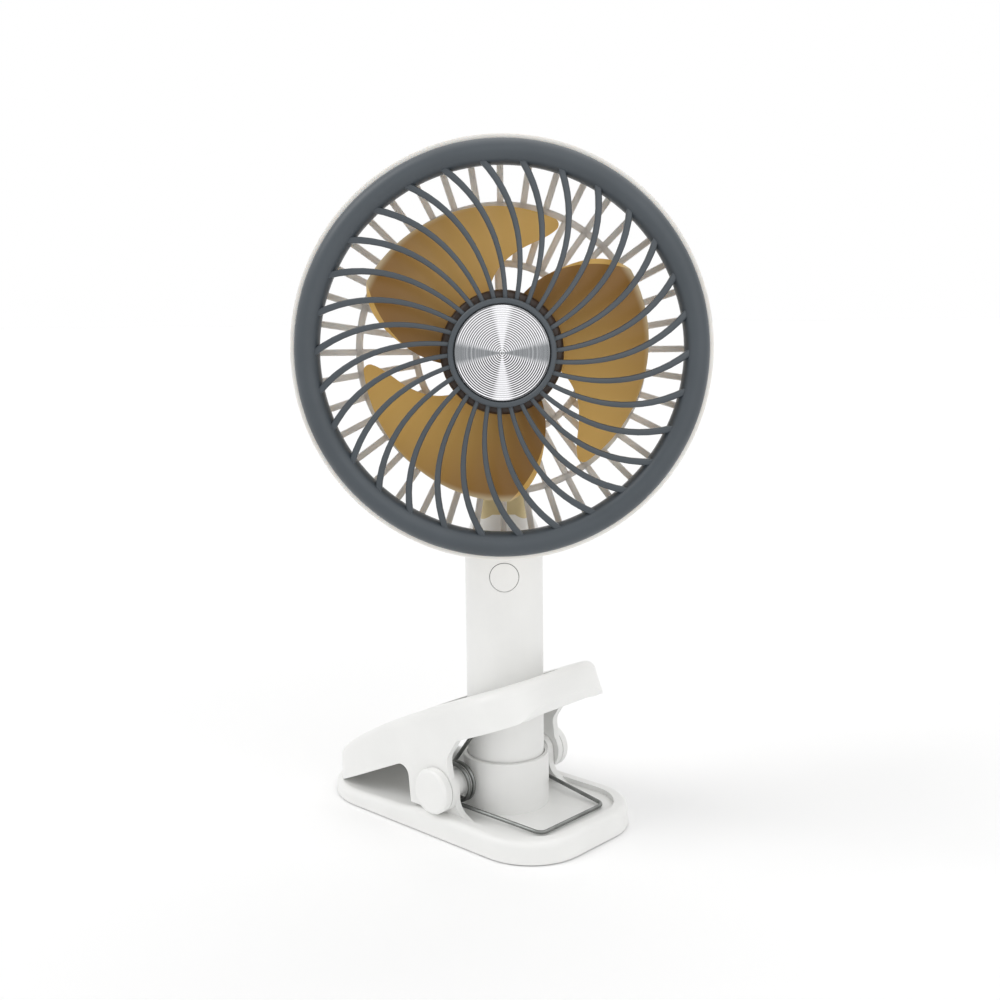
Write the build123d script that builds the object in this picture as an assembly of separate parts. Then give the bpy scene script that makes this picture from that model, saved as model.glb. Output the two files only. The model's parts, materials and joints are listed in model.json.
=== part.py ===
from build123d import *
import os
from math import cos, dist, pi, radians, sin, sqrt, tan

# Clip fan. Millimetres. The clip lies along X with its jaw at -X, its pivots along Y
# and Z up. The origin is where the handle's axis meets the surface the clip stands on.
# Handle and head are drawn facing -Y and then turned together about the handle's axis.

HEAD_TURN = 43.0

# Fits and small gaps
RUNNING = 0.05
LOOSE = 0.15
SEAT_GAP = 0.05
SIDE_GAP = 0.3
OVERLAP = 0.5

# Handle's foot, and the cup, ears, pins and lever that go round it
HANDLE_RADIUS = 13.75
CUP_MOUTH = HANDLE_RADIUS + SIDE_GAP
CUP_WALL = 1.45
CUP_OUTER = CUP_MOUTH + CUP_WALL
SPRING_SPACE = 8.4
BASE_EAR_INNER = CUP_OUTER + SPRING_SPACE
BASE_EAR_WIDTH = 2.7
BASE_EAR_OUTER = BASE_EAR_INNER + BASE_EAR_WIDTH
LEVER_EAR_WIDTH = 2.9
LEVER_EAR_OUTER = BASE_EAR_OUTER + LEVER_EAR_WIDTH
BASE_MARGIN = 2.0
BASE_HALF_WIDTH = LEVER_EAR_OUTER + BASE_MARGIN
PIN_CAP_LENGTH = 3.7
PIN_CAP_TOP = LEVER_EAR_OUTER + PIN_CAP_LENGTH
COIL_BOSS_GAP = 0.7
COIL_BOSS_END = CUP_OUTER + COIL_BOSS_GAP
SLOT_SIDE_ROOM = 1.65
SLOT_FRONT_ROOM = 13.75
SLOT_REAR_ROOM = 4.75
SLOT_FRONT = -HANDLE_RADIUS - SLOT_FRONT_ROOM
SLOT_REAR = HANDLE_RADIUS + SLOT_REAR_ROOM
SLOT_HALF_WIDTH = HANDLE_RADIUS + SLOT_SIDE_ROOM
SLOT_CORNER = SLOT_HALF_WIDTH - 3.0

# Clip base
BASE_FRONT = 75.5
BASE_REAR = 42.0
TIP_CORNER = 27.0
REAR_CORNER = 21.0
BASE_TOP = 8.3
BASE_BOTTOM = 0.5
BASE_FLOOR = 6.4
JAW_TIP_TOP = 5.2
JAW_ROOT_TOP = 7.0
JAW_LAND_END = -62.0
JAW_ROOT = -24.0
EAR_FOOT = -13.0
EAR_TOE_FRONT = -21.0
EAR_TOE_REAR = 7.5
EAR_KNEE = 10.5
EAR_KNEE_ROUND = 6.0
RIM_WIDTH = 5.0
BASE_EDGE_ROUND = 2.4
BASE_TOP_BLEND = 20.0
BASE_SKIN = 2.2
BASE_LEDGE = 5.0
RIB_THICKNESS = 1.6
RIB_COUNT = 4
PAD_INSET = 3.2
PAD_THICKNESS = 1.6

# Socket cup, its screws and the swivel bush
CUP_STEP = 2.05
CUP_BORE = CUP_MOUTH - CUP_STEP
BUSH_WALL = 1.45
SPIGOT_RADIUS = CUP_BORE - BUSH_WALL
CUP_TOP = 25.0
CUP_SHOULDER = 17.0
CUP_BOTTOM_SKIN = 2.0
CUP_ROUND = 0.5
CUP_SCREW_INSET = 1.7
CUP_SCREW_CIRCLE = CUP_OUTER - CUP_SCREW_INSET
CUP_SCREW_COUNT = 3
CUP_SCREW_TURN = 30.0
SCREW_SHANK = 1.0
SCREW_HEAD = 2.2
SCREW_HEAD_HEIGHT = 1.4
SCREW_HEAD_ROUND = 0.5
CUP_SCREW_TIP = 13.0
BUSH_FLANGE = 1.2
KEY_WIDTH = 2.0
KEY_HEIGHT = 0.6

# Pivot: base ears inside, lever ears outside, and a capped pin on each side
PIVOT_X = -5.8
PIVOT_Z = 17.1
BASE_EAR_RADIUS = 5.8
LEVER_EAR_RADIUS = 8.0
PIN_SHANK = 3.4
PIN_CAP_RADIUS = 8.0
PIN_CAP_ROUND = 1.3
COIL_BOSS = 4.7

# Lever
LEVER_FRONT = 74.5
LEVER_REAR = 25.5
LEVER_REAR_CORNER = 18.0
LEVER_TOP_AT_PIVOT = 46.8
LEVER_SLOPE = 22.4
LEVER_BEND = -17.0
NOSE_X = -76.0
NOSE_Z = 8.0
NOSE_LIP = 1.5
LEVER_DEPTH = 14.0
LEVER_WALL = 2.6
LEVER_PLATE = 2.4
LEVER_NOSE_LAND = 4.0
LEVER_EDGE_ROUND = 3.5
LEVER_SKIRT_ROUND = 3.0
LEVER_SPARE = 2.0
JAW_MOUTH_X = -20.8
JAW_MOUTH_Z = 23.8
JAW_MOUTH_ROUND = 4.0
TONGUE_FRONT = -19.3
EAR_NECK_TURN = 40.0
NECK_X = -0.8
NECK_Z = 29.5
NECK_ROUND = 5.0
SKIRT_START_X = 4.0
SKIRT_START_ROUND = 3.0

# Double torsion spring
WIRE = 1.4
COIL_RADIUS = 6.8
COIL_PITCH = 2.3
COIL_TURNS = 2
UPPER_LEG_GAP = 0.95
UPPER_LEG_Y = CUP_OUTER + UPPER_LEG_GAP
UPPER_LEG_RISE = 52.0
LOWER_LEG_FALL = 4.3
LOWER_LEG_TAPER = 7.5
CROSS_BAR_X = 31.5
LEG_BEND = 3.0
TIP_BEND = 2.0
TIP_LENGTH = 5.0
COIL_ENTRY = UPPER_LEG_RISE + 90
COIL_EXIT = 270 - LOWER_LEG_FALL + 360 * COIL_TURNS

# Handle, whose heights follow the battery cell
HANDLE_WALL = 1.8
HANDLE_INNER = HANDLE_RADIUS - HANDLE_WALL
SPIGOT_BOTTOM = 9.0
HANDLE_SHELL_BOTTOM = 20.9
CAP_FLANGE = 2.6
CAP_COLLAR = 6.0
CELL_RADIUS = 9.2
CELL_LENGTH = 65.0
CELL_ROUND = 0.8
CELL_NIPPLE_RADIUS = 3.0
CELL_NIPPLE = 1.0
CONTACT_SEAT = 11.0
CONTACT_THICKNESS = 0.4
CONTACT_DOME = 3.6
CONTACT_DOME_FOOT = 5.5
CONTACT_DOME_TOP = 2.5
CONTACT_HALF_WIDTH = 4.0
CONTACT_TAB = 2.0
CELL_BOTTOM = CONTACT_SEAT + CONTACT_DOME
CELL_TOP = CELL_BOTTOM + CELL_LENGTH
BOARD_Y = 1.0
BOARD_THICKNESS = 1.2
BOARD_WIDTH = 21.0
BOARD_LIFT = 3.0
BOARD_HEIGHT = 16.0
BOARD_BOTTOM = CELL_TOP + BOARD_LIFT
BOARD_TOP = BOARD_BOTTOM + BOARD_HEIGHT
CHIP_WIDTH = 5.0
CHIP_HEIGHT = 4.0
CHIP_THICKNESS = 1.0
CHIP_EDGE = 1.5
LAMP_HEIGHT = 3.0
BUTTON_LIFT = 9.0
BUTTON_Z = BOARD_BOTTOM + BUTTON_LIFT
BUTTON_RADIUS = 5.0
BUTTON_TRAVEL = 0.6
BUTTON_FLANGE = 6.0
BUTTON_PROUD = 0.1
SWITCH_SIZE = 6.0
SWITCH_HEIGHT = 3.5
SWITCH_STEM = 1.6
SWITCH_STEM_HEIGHT = 1.0
INLET_LIFT = 4.0
INLET_Z = BOARD_BOTTOM + INLET_LIFT
INLET_WIDTH = 8.94
INLET_HEIGHT = 3.26
INLET_WALL = 0.3
INLET_DEPTH = 6.5
INLET_RECESS = 1.45
INLET_MOUTH = HANDLE_RADIUS - INLET_RECESS
TONGUE_WIDTH = 6.6
TONGUE_THICKNESS = 0.7
WINDOW_LIFT = 11.9
WINDOW_Z = BOARD_BOTTOM + WINDOW_LIFT
WINDOW_RADIUS = 1.2
DOME_START = BOARD_TOP - 0.6
DOME_HEIGHT = 14.7
FORK_GAP = 9.0
FORK_CHEEK = 4.2
FORK_WIDTH = FORK_GAP + 2 * FORK_CHEEK
DOME_LAND = 0.7
DOME_TOP_RADIUS = FORK_WIDTH / 2 + DOME_LAND
HANDLE_TOP = DOME_START + DOME_HEIGHT
SHELL_SCREW_X = 8.0
SHELL_SCREW_LIFT = 4.2
SHELL_SCREW_Z = DOME_START + SHELL_SCREW_LIFT
SHELL_SCREW_BOSS = 2.1
SHELL_SCREW_SEAT = 7.0
SHELL_SCREW_TIP = -7.0

# Tilt joint
TILT_Y = -2.0
TILT_LIFT = 12.3
TILT_Z = HANDLE_TOP + TILT_LIFT
FORK_RADIUS = 6.3
FORK_CORNER = 4.5
FORK_DEPTH = 13.0
FORK_SINK = 7.7
FORK_FOOT = HANDLE_TOP - FORK_SINK
FORK_FLANGE = 1.2
FORK_FLANGE_HEIGHT = 2.0
LUG_WIDTH = 7.8
LUG_RADIUS = 6.0
LUG_CLEARANCE = 0.8
TILT_PIN = 1.5
WASHER_RADIUS = 4.6

# Head, measured from its own centre; Y runs along its axis, and its front is at -Y
RIM_RADIUS = 68.0
LUG_INSET = 23.9
HEAD_Z = TILT_Z + RIM_RADIUS - LUG_INSET
RIM_WALL = 1.8
REAR_FACE = -HANDLE_RADIUS - 0.55
RIM_DEPTH = 16.7
RIM_FRONT = REAR_FACE - RIM_DEPTH
RIM_REAR_ROUND = 3.5
REAR_DEPTH = 2.2
REAR_SPOKES = 40
REAR_SPOKE_WIDTH = 2.2
OUTER_HOOP = RIM_RADIUS * 0.697
INNER_HOOP = RIM_RADIUS * 0.42
HOOP_WIDTH = 2.3
INNER_STRUTS = 5
INNER_STRUT_TURN = 19.5
INNER_STRUT_WIDTH = 3.0
FRAME_WIDTH = 2.6
CAN_RADIUS = 12.2
BOSS_INNER = CAN_RADIUS + 0.1
BOSS_WALL = 1.6
BOSS_OUTER = BOSS_INNER + BOSS_WALL
BOSS_FRONT = REAR_FACE - 6.2
BOSS_REAR = REAR_FACE + 9.3
COVER_POST = 3.2
COVER_POST_RADIUS = 2.0
SPINE_REAR = REAR_FACE + 7.8
RING_OUTER = RIM_RADIUS - 1.7
RING_WIDTH = 8.1
RING_INNER = RING_OUTER - RING_WIDTH
RING_DEPTH = 5.8
RING_REAR = RIM_FRONT - 0.2
RING_FRONT = RING_REAR - RING_DEPTH
RING_SKIRT = 4.7
RING_SKIRT_END = RING_REAR + RING_SKIRT
RING_SKIRT_WALL = 1.4
FRONT_RIBS = 30
RIB_WIDTH_IN = 1.4
RIB_WIDTH_OUT = 2.1
RIB_DEPTH = 2.6
RIB_SWEEP_MID = 8.1
RIB_SWEEP_OUT = 21.5
RIB_START_TURN = 2.0
RIB_DOME = 1.0
HUB_RING = 17.1
HUB_THICKNESS = 4.0
HUB_FRONT = RING_FRONT - 5.0
HUB_REAR = HUB_FRONT + HUB_THICKNESS
HUB_ROUND = 0.7
RIB_FRONT_IN = HUB_FRONT + 1.4
RIB_FRONT_OUT = RING_FRONT + 1.4
BADGE_RADIUS = HUB_RING - 2.1
BADGE_SEAT = BADGE_RADIUS + 0.4
BADGE_DEPTH = 1.5
BADGE_FACE = HUB_FRONT + 0.5
BADGE_GROOVES = 9
GROOVE_WIDTH = 0.6
GROOVE_DEPTH = 0.15

# Motor and impeller
CAN_LENGTH = 12.5
CAN_FRONT = BOSS_FRONT - 2.0
CAN_REAR = CAN_FRONT + CAN_LENGTH
CAN_WALL = 0.6
CAN_NOSE = 3.0
CAN_NOSE_LENGTH = 1.0
END_BELL = 1.4
SHAFT_RADIUS = 1.0
ROTOR_RADIUS = 9.5
ROTOR_GAP = 0.5
BUSH_RADIUS = 2.4
BUSH_LENGTH = 2.2
COVER_RADIUS = BOSS_OUTER + 1.5
COVER_THICKNESS = 1.6
COVER_ROUND = 1.0
COVER_SCREWS = 3
COVER_SCREW_CIRCLE = 11.2
IMPELLER_HUB = 19.75
IMPELLER_FRONT = HUB_REAR + 1.4
IMPELLER_REAR = CAN_FRONT + 0.5
IMPELLER_WALL = 1.6
IMPELLER_ROUND = 2.0
IMPELLER_BOSS = 3.6
SHAFT_FRONT = IMPELLER_FRONT + 1.4
BLADES = 3
BLADE_REACH = RING_INNER - 9.8
BLADE_CORNER_TURN = 31.0
BLADE_THICKNESS = 1.3
BLADE_RISE = 0.088
BLADE_MID = IMPELLER_FRONT + 8.2
BLADE_ROOT_SINK = 1.0
BLADE_ROOT_LEAD = 39.5
BLADE_ROOT_TRAIL = -48.5
BLADE_TIP_LEAD = 1.0
BLADE_TIP_TRAIL = -87.0
BLADE_CORNER_ROUND = 2.0

# Well past every piece
FAR = 200.0


def box(x, y, z):
    """A block between two values on each axis."""
    size = Box(x[1] - x[0], y[1] - y[0], z[1] - z[0])
    return Pos((x[0] + x[1]) / 2, (y[0] + y[1]) / 2, (z[0] + z[1]) / 2) * size


def post(radius, z, x=0.0, y=0.0):
    """A cylinder along Z."""
    return Pos(x, y, (z[0] + z[1]) / 2) * Cylinder(radius, z[1] - z[0])


def barrel(radius, y, x=0.0, z=0.0):
    """A cylinder along Y."""
    return Pos(x, (y[0] + y[1]) / 2, z) * Rot(90, 0, 0) * Cylinder(radius, y[1] - y[0])


def crosswise(radius, x, y=0.0, z=0.0):
    """A cylinder along X."""
    return Pos((x[0] + x[1]) / 2, y, z) * Rot(0, 90, 0) * Cylinder(radius, x[1] - x[0])


def polygon(*points):
    return make_face(Polyline(*points, close=True))


def slab(face, y):
    """A face drawn in X and Z, as thick as the span in Y."""
    side = Plane(origin=(0, y[1], 0), x_dir=(1, 0, 0), z_dir=(0, -1, 0))
    return extrude(side * face, y[1] - y[0])


def both_sides(solid):
    return [solid, mirror(solid, about=Plane.XZ)]


def around_axis(count, start=0.0):
    """Turns about the head's axis, anticlockwise as seen from the front."""
    return [Rot(0, -start - 360 * k / count, 0) for k in range(count)]


def rim_edges(faces):
    """The edges that belong to only one of the faces."""
    edges = [edge for face in faces for edge in face.edges()]
    return [a for a in edges if sum(a.is_same(b) for b in edges) == 1]


# ---------------------------------------------------------------- clip base


def clip_plan(front, rear, half_width, rear_corner, inset=0.0):
    """The clip's rounded outline from above."""
    length = front + rear - 2 * inset
    face = Pos((rear - front) / 2, 0) * Rectangle(length, 2 * (half_width - inset))
    face = fillet(face.vertices().group_by(Axis.X)[0], TIP_CORNER - inset)
    return fillet(face.vertices().group_by(Axis.X)[-1], rear_corner - inset)


def base_plan(inset=0.0):
    return clip_plan(BASE_FRONT, BASE_REAR, BASE_HALF_WIDTH, REAR_CORNER, inset)


def base_blank():
    """The solid outer shape: low at the jaw, higher from the ears back."""
    front = -BASE_FRONT - 1
    rear = BASE_REAR + 1
    side = polygon(
        (front, BASE_BOTTOM),
        (rear, BASE_BOTTOM),
        (rear, BASE_TOP),
        (EAR_FOOT, BASE_TOP),
        (JAW_ROOT, JAW_ROOT_TOP),
        (JAW_LAND_END, JAW_TIP_TOP),
        (front, JAW_TIP_TOP),
    )
    kinks = [(EAR_FOOT, BASE_TOP), (JAW_ROOT, JAW_ROOT_TOP), (JAW_LAND_END, JAW_TIP_TOP)]
    corners = [side.vertices().sort_by_distance(kink)[0] for kink in kinks]
    side = fillet(corners, BASE_TOP_BLEND)
    blank = extrude(base_plan(), 2 * BASE_TOP) & slab(side, (-FAR, FAR))
    tops = [face for face in blank.faces() if face.normal_at().Z > 0.9]
    return fillet(rim_edges(tops), BASE_EDGE_ROUND)


def base_hollows():
    """The spring's recess above, the pad's seat and the cavities below."""
    recess = extrude(base_plan(RIM_WIDTH), 2 * BASE_TOP)
    recess &= box((EAR_FOOT - 4, BASE_REAR), (-FAR, FAR), (BASE_FLOOR, 2 * BASE_TOP))
    seat = extrude(base_plan(PAD_INSET - LOOSE), PAD_THICKNESS)
    under = extrude(base_plan(BASE_LEDGE), BASE_FLOOR - BASE_SKIN)
    under -= box((-BASE_FRONT, JAW_ROOT), (-FAR, FAR), (JAW_TIP_TOP - BASE_SKIN, BASE_TOP))
    span = BASE_FRONT + BASE_REAR
    for k in range(RIB_COUNT):
        x = -BASE_FRONT + span * (k + 1) / (RIB_COUNT + 1)
        under -= box((x, x + RIB_THICKNESS), (-FAR, FAR), (PAD_THICKNESS, BASE_TOP))
    return recess + seat + under


def base_ear(y):
    """One upright ear, curving into the floor at its rear."""
    edge = PIVOT_X + BASE_EAR_RADIUS
    foot = polygon(
        (EAR_TOE_FRONT, BASE_FLOOR - 1),
        (PIVOT_X - BASE_EAR_RADIUS, PIVOT_Z),
        (edge, PIVOT_Z),
        (edge, EAR_KNEE),
        (EAR_TOE_REAR, BASE_FLOOR),
        (EAR_TOE_REAR, BASE_FLOOR - 1),
    )
    knee = foot.vertices().sort_by_distance((edge, EAR_KNEE))[0]
    face = fillet(knee, EAR_KNEE_ROUND) + Pos(PIVOT_X, PIVOT_Z) * Circle(BASE_EAR_RADIUS)
    return slab(face, y)


def cup_screw_spots():
    places = []
    for k in range(CUP_SCREW_COUNT):
        turn = radians(CUP_SCREW_TURN + 360 * k / CUP_SCREW_COUNT)
        places.append((CUP_SCREW_CIRCLE * cos(turn), CUP_SCREW_CIRCLE * sin(turn)))
    return places


def clip_base():
    body = base_blank() - base_hollows()
    body += both_sides(base_ear((BASE_EAR_INNER, BASE_EAR_OUTER)))
    boss = barrel(COIL_BOSS, (COIL_BOSS_END, BASE_EAR_INNER + OVERLAP), PIVOT_X, PIVOT_Z)
    body += both_sides(boss)
    bore = barrel(PIN_SHANK + RUNNING, (-FAR, FAR), PIVOT_X, PIVOT_Z)
    body -= bore
    for x, y in cup_screw_spots():
        body -= post(SCREW_SHANK + LOOSE, (0, 2 * BASE_TOP), x, y)
    return body


def foot_pad():
    return extrude(base_plan(PAD_INSET), PAD_THICKNESS)


def socket_cup():
    bottom = BASE_FLOOR + CUP_BOTTOM_SKIN
    cup = post(CUP_OUTER, (BASE_FLOOR, CUP_TOP))
    rims = cup.edges().group_by(Axis.Z)[-1]
    cup = fillet(rims, CUP_ROUND)
    cup -= post(CUP_BORE, (bottom, CUP_TOP))
    cup -= post(CUP_MOUTH, (CUP_SHOULDER, CUP_TOP + 1))
    for x, y in cup_screw_spots():
        cup -= post(SCREW_SHANK, (BASE_FLOOR, CUP_SCREW_TIP), x, y)
    return cup


def socket_screws():
    head_top = BASE_FLOOR - BASE_SKIN
    screws = []
    for x, y in cup_screw_spots():
        head = post(SCREW_HEAD, (head_top - SCREW_HEAD_HEIGHT, head_top), x, y)
        screws.append(head + post(SCREW_SHANK, (head_top, CUP_SCREW_TIP), x, y))
    return screws


def swivel_bush():
    """A flanged bush that the handle plugs into and that turns in the cup."""
    outer = CUP_BORE - RUNNING
    low = BASE_FLOOR + CUP_BOTTOM_SKIN + SEAT_GAP
    high = CUP_SHOULDER + SEAT_GAP
    bush = post(outer, (low, high + BUSH_FLANGE))
    bush += post(CUP_MOUTH - SIDE_GAP, (high, high + BUSH_FLANGE))
    bush -= post(SPIGOT_RADIUS + RUNNING, (0, FAR))
    groove = KEY_WIDTH / 2 + LOOSE
    reach = SPIGOT_RADIUS + KEY_HEIGHT + LOOSE
    bush -= box((-reach, reach), (-groove, groove), (0, FAR))
    return bush


# ---------------------------------------------------------------- pivots, lever, spring


def pivot_pins():
    """Shouldered pins with round caps, one from each side."""
    cap = barrel(PIN_CAP_RADIUS, (LEVER_EAR_OUTER + SIDE_GAP, PIN_CAP_TOP), PIVOT_X, PIVOT_Z)
    cap = fillet(cap.edges().group_by(Axis.Y)[-1], PIN_CAP_ROUND)
    span = (COIL_BOSS_END + OVERLAP, PIN_CAP_TOP - PIN_CAP_ROUND)
    return both_sides(cap + barrel(PIN_SHANK, span, PIVOT_X, PIVOT_Z))


def lever_top(x):
    """Height of the plate's straight stretch."""
    return LEVER_TOP_AT_PIVOT + (x - PIVOT_X) * tan(radians(LEVER_SLOPE))


def top_line(drop):
    """The plate's side line, lowered at right angles to its slope."""
    slope = radians(LEVER_SLOPE)
    shift = Vector(sin(slope), -cos(slope)) * drop
    rear = Vector(*plate_point(LEVER_SPARE, 0)) + shift
    bend = Vector(LEVER_BEND, lever_top(LEVER_BEND)) + shift
    straight = Line(rear, bend)
    nose = Vector(NOSE_X, NOSE_Z) + shift
    curve = TangentArc(bend, nose, tangent=bend - rear)
    return straight, curve


def plate_point(along, drop):
    """A point seen from the side, along the plate from its rear end and square to it."""
    slope = radians(LEVER_SLOPE)
    x = LEVER_REAR + along * cos(slope) + drop * sin(slope)
    z = lever_top(LEVER_REAR) + along * sin(slope) - drop * cos(slope)
    return x, z


def lever_side():
    """The lever from the side: nose, jaw, hanging ears and rear skirt."""
    straight, curve = top_line(0.0)
    land = JAW_TIP_TOP + SEAT_GAP
    knee = (SKIRT_START_X, lever_top(SKIRT_START_X) - LEVER_DEPTH)
    skirt = LEVER_DEPTH * cos(radians(LEVER_SLOPE))
    heel = plate_point(-LEVER_SKIRT_ROUND, skirt)
    low = PIVOT_Z - LEVER_EAR_RADIUS
    edge_x = PIVOT_X + LEVER_EAR_RADIUS * cos(radians(EAR_NECK_TURN))
    edge_z = PIVOT_Z + LEVER_EAR_RADIUS * sin(radians(EAR_NECK_TURN))
    outline = Polyline(
        curve @ 1,
        (-LEVER_FRONT, land + NOSE_LIP),
        (-LEVER_FRONT, land),
        (JAW_LAND_END, land),
        (JAW_MOUTH_X, JAW_MOUTH_Z),
        (TONGUE_FRONT, low),
        (PIVOT_X, low),
        (PIVOT_X, PIVOT_Z),
        (edge_x, edge_z),
        (NECK_X, NECK_Z),
        knee,
        heel,
        plate_point(LEVER_SPARE, skirt - 2 * LEVER_SKIRT_ROUND),
        straight @ 0,
    )
    face = make_face([straight, curve, *outline.edges()])
    for corner, radius in (
        ((JAW_MOUTH_X, JAW_MOUTH_Z), JAW_MOUTH_ROUND),
        ((NECK_X, NECK_Z), NECK_ROUND),
        (knee, SKIRT_START_ROUND),
        (heel, LEVER_SKIRT_ROUND),
    ):
        face = fillet(face.vertices().sort_by_distance(corner)[0], radius)
    return face + Pos(PIVOT_X, PIVOT_Z) * Circle(LEVER_EAR_RADIUS)


def lever_plan(inset=0.0):
    """The lever's outline from above, which runs on past its rear end."""
    return clip_plan(LEVER_FRONT, FAR, LEVER_EAR_OUTER, LEVER_REAR_CORNER, inset)


def lever_end(inset=0.0):
    """All that lies before the lever's rounded rear end, which is square to its plate."""
    slope = radians(LEVER_SLOPE)
    x, z = plate_point(-inset, 0)
    along = (cos(slope), 0, sin(slope))
    plate = Plane(origin=(x, 0, z), x_dir=along, z_dir=(-sin(slope), 0, cos(slope)))
    face = Pos(-FAR / 2, 0) * Rectangle(FAR, 2 * (LEVER_EAR_OUTER - inset))
    face = fillet(face.vertices().group_by(Axis.X)[-1], LEVER_REAR_CORNER - inset)
    return extrude(plate * face, FAR, both=True)


def lever_slot():
    """The long opening in the plate that the handle stands in."""
    face = Rectangle(SLOT_REAR - SLOT_FRONT, 2 * SLOT_HALF_WIDTH)
    face = fillet(face.vertices(), SLOT_CORNER)
    return extrude(Pos((SLOT_REAR + SLOT_FRONT) / 2, 0) * face, FAR)


def under_plate(drop):
    """All that lies under the plate's line lowered by drop."""
    straight, curve = top_line(drop)
    front = Vector(-LEVER_FRONT - 5, (curve @ 1).Y)
    outline = Polyline(
        curve @ 1,
        front,
        (front.X, 0),
        (LEVER_REAR + 10, 0),
        (LEVER_REAR + 10, (straight @ 0).Y),
        straight @ 0,
    )
    return slab(make_face([straight, curve, *outline.edges()]), (-FAR, FAR))


def clamp_lever():
    blank = extrude(lever_plan(), FAR) & slab(lever_side(), (-FAR, FAR)) & lever_end()
    tops = [face for face in blank.faces() if face.normal_at().Z > 0.6]
    blank = fillet(rim_edges(tops), LEVER_EDGE_ROUND)
    inside = extrude(lever_plan(LEVER_WALL), FAR) & under_plate(LEVER_PLATE)
    inside &= lever_end(LEVER_WALL)
    inside &= box((JAW_LAND_END - LEVER_NOSE_LAND, FAR), (-FAR, FAR), (0, FAR))
    body = blank - inside - lever_slot()
    body -= barrel(PIN_SHANK + RUNNING, (-FAR, FAR), PIVOT_X, PIVOT_Z)
    return body


def biarc(start, start_way, end, end_way):
    """Two arcs that leave one point and reach another in given directions."""
    chord = end - start
    ways = start_way + end_way
    bend = 2 * (1 - start_way.dot(end_way))
    along = chord.dot(ways)
    reach = (sqrt(along * along + bend * chord.dot(chord)) - along) / bend
    first = start + start_way * reach
    last = end - end_way * reach
    joint = (first + last) / 2
    turn = (last - first).normalized()
    return [
        Edge.make_tangent_arc(start, start_way, joint),
        Edge.make_tangent_arc(joint, turn, end),
    ]


def coil_point(angle):
    """A point and direction on the near coil, which runs outward as the angle grows."""
    turned = radians(angle)
    y = -UPPER_LEG_Y - COIL_PITCH * (angle - COIL_ENTRY) / 360
    out = Vector(cos(turned), 0, sin(turned))
    along = Vector(-sin(turned), -COIL_PITCH / (2 * pi * COIL_RADIUS), cos(turned))
    return Vector(PIVOT_X, y, PIVOT_Z) + out * COIL_RADIUS, along.normalized()


def coil_edges():
    """The near coil, from the upper leg's direction to the lower leg's."""
    spans = round((COIL_EXIT - COIL_ENTRY) / 90)
    step = (COIL_EXIT - COIL_ENTRY) / spans
    stops = [coil_point(COIL_ENTRY + step * k) for k in range(spans + 1)]
    first, way = stops[0]
    last, way_out = stops[-1]
    taper = tan(radians(LOWER_LEG_TAPER))
    stops[0] = (first, Vector(way.X, 0, way.Z).normalized())
    stops[-1] = (last, Vector(way_out.X, way_out.X * taper, way_out.Z).normalized())
    edges = []
    for (start, start_way), (end, end_way) in zip(stops, stops[1:]):
        edges += biarc(start, start_way, end, end_way)
    return stops[0], edges, stops[-1]


def rounded_run(points, radius):
    """Straight runs joined by tangent arcs."""
    edges = []
    last = points[0]
    for before, corner, after in zip(points, points[1:], points[2:]):
        back = (before - corner).normalized()
        onward = (after - corner).normalized()
        half_turn = radians(back.get_angle(onward)) / 2
        start = corner + back * (radius / tan(half_turn))
        end = corner + onward * (radius / tan(half_turn))
        edges.append(Edge.make_line(last, start))
        edges.append(Edge.make_tangent_arc(start, -back, end))
        last = end
    edges.append(Edge.make_line(last, points[-1]))
    return edges


def wire_path():
    """Half of the wire: tip under the lever, near coil, lower leg, half the cross bar."""
    (entry, way_in), coil, (leave, way_out) = coil_edges()
    slope = radians(LEVER_SLOPE)
    drop = LEVER_PLATE + WIRE / 2 + SEAT_GAP
    under_x = PIVOT_X + drop * sin(slope)
    under_z = LEVER_TOP_AT_PIVOT - drop * cos(slope)
    gap = under_z + (entry.X - under_x) * tan(slope) - entry.Z
    corner = entry - way_in * (gap / (way_in.X * tan(slope) - way_in.Z))
    tip = corner - Vector(0, TIP_LENGTH + TIP_BEND, 0)
    bar_corner = leave + way_out * ((CROSS_BAR_X - leave.X) / way_out.X)
    middle = Vector(bar_corner.X, 0, bar_corner.Z)
    upper = rounded_run([tip, corner, entry], TIP_BEND)
    lower = rounded_run([leave, bar_corner, middle], LEG_BEND)
    return Wire([*upper, *coil, *lower])


def least_gap(path, samples=900):
    """The least clear distance between stretches of the wire that aren't neighbours."""
    points = [tuple(path.position_at(k / samples)) for k in range(samples + 1)]
    apart = int(samples * pi * COIL_RADIUS / path.length)
    pairs = ((a, b) for a in range(samples) for b in range(a + apart, samples + 1))
    return min(dist(points[a], points[b]) for a, b in pairs) - WIRE


def clamp_spring():
    path = wire_path()
    print("spring: least gap to itself", round(least_gap(path), 3))
    start = Plane(origin=path @ 0, z_dir=path % 0)
    half = sweep(start * Circle(WIRE / 2), path=path)
    return half + mirror(half, about=Plane.XZ)


# ---------------------------------------------------------------- handle


def handle_profile(radius, low, high):
    """Half section of the handle's body under its domed top."""
    foot = Line((0, low), (radius, low))
    wall = Line(foot @ 1, (radius, DOME_START))
    dome = TangentArc(wall @ 1, (DOME_TOP_RADIUS, high), tangent=(0, 1))
    top = Polyline(dome @ 1, (0, high), (0, low))
    return make_face([foot, wall, dome, *top.edges()])


def fork_section(grow=0.0):
    face = Pos(0, TILT_Y) * Rectangle(FORK_WIDTH + 2 * grow, FORK_DEPTH + 2 * grow)
    return fillet(face.vertices(), FORK_CORNER + grow)


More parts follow.
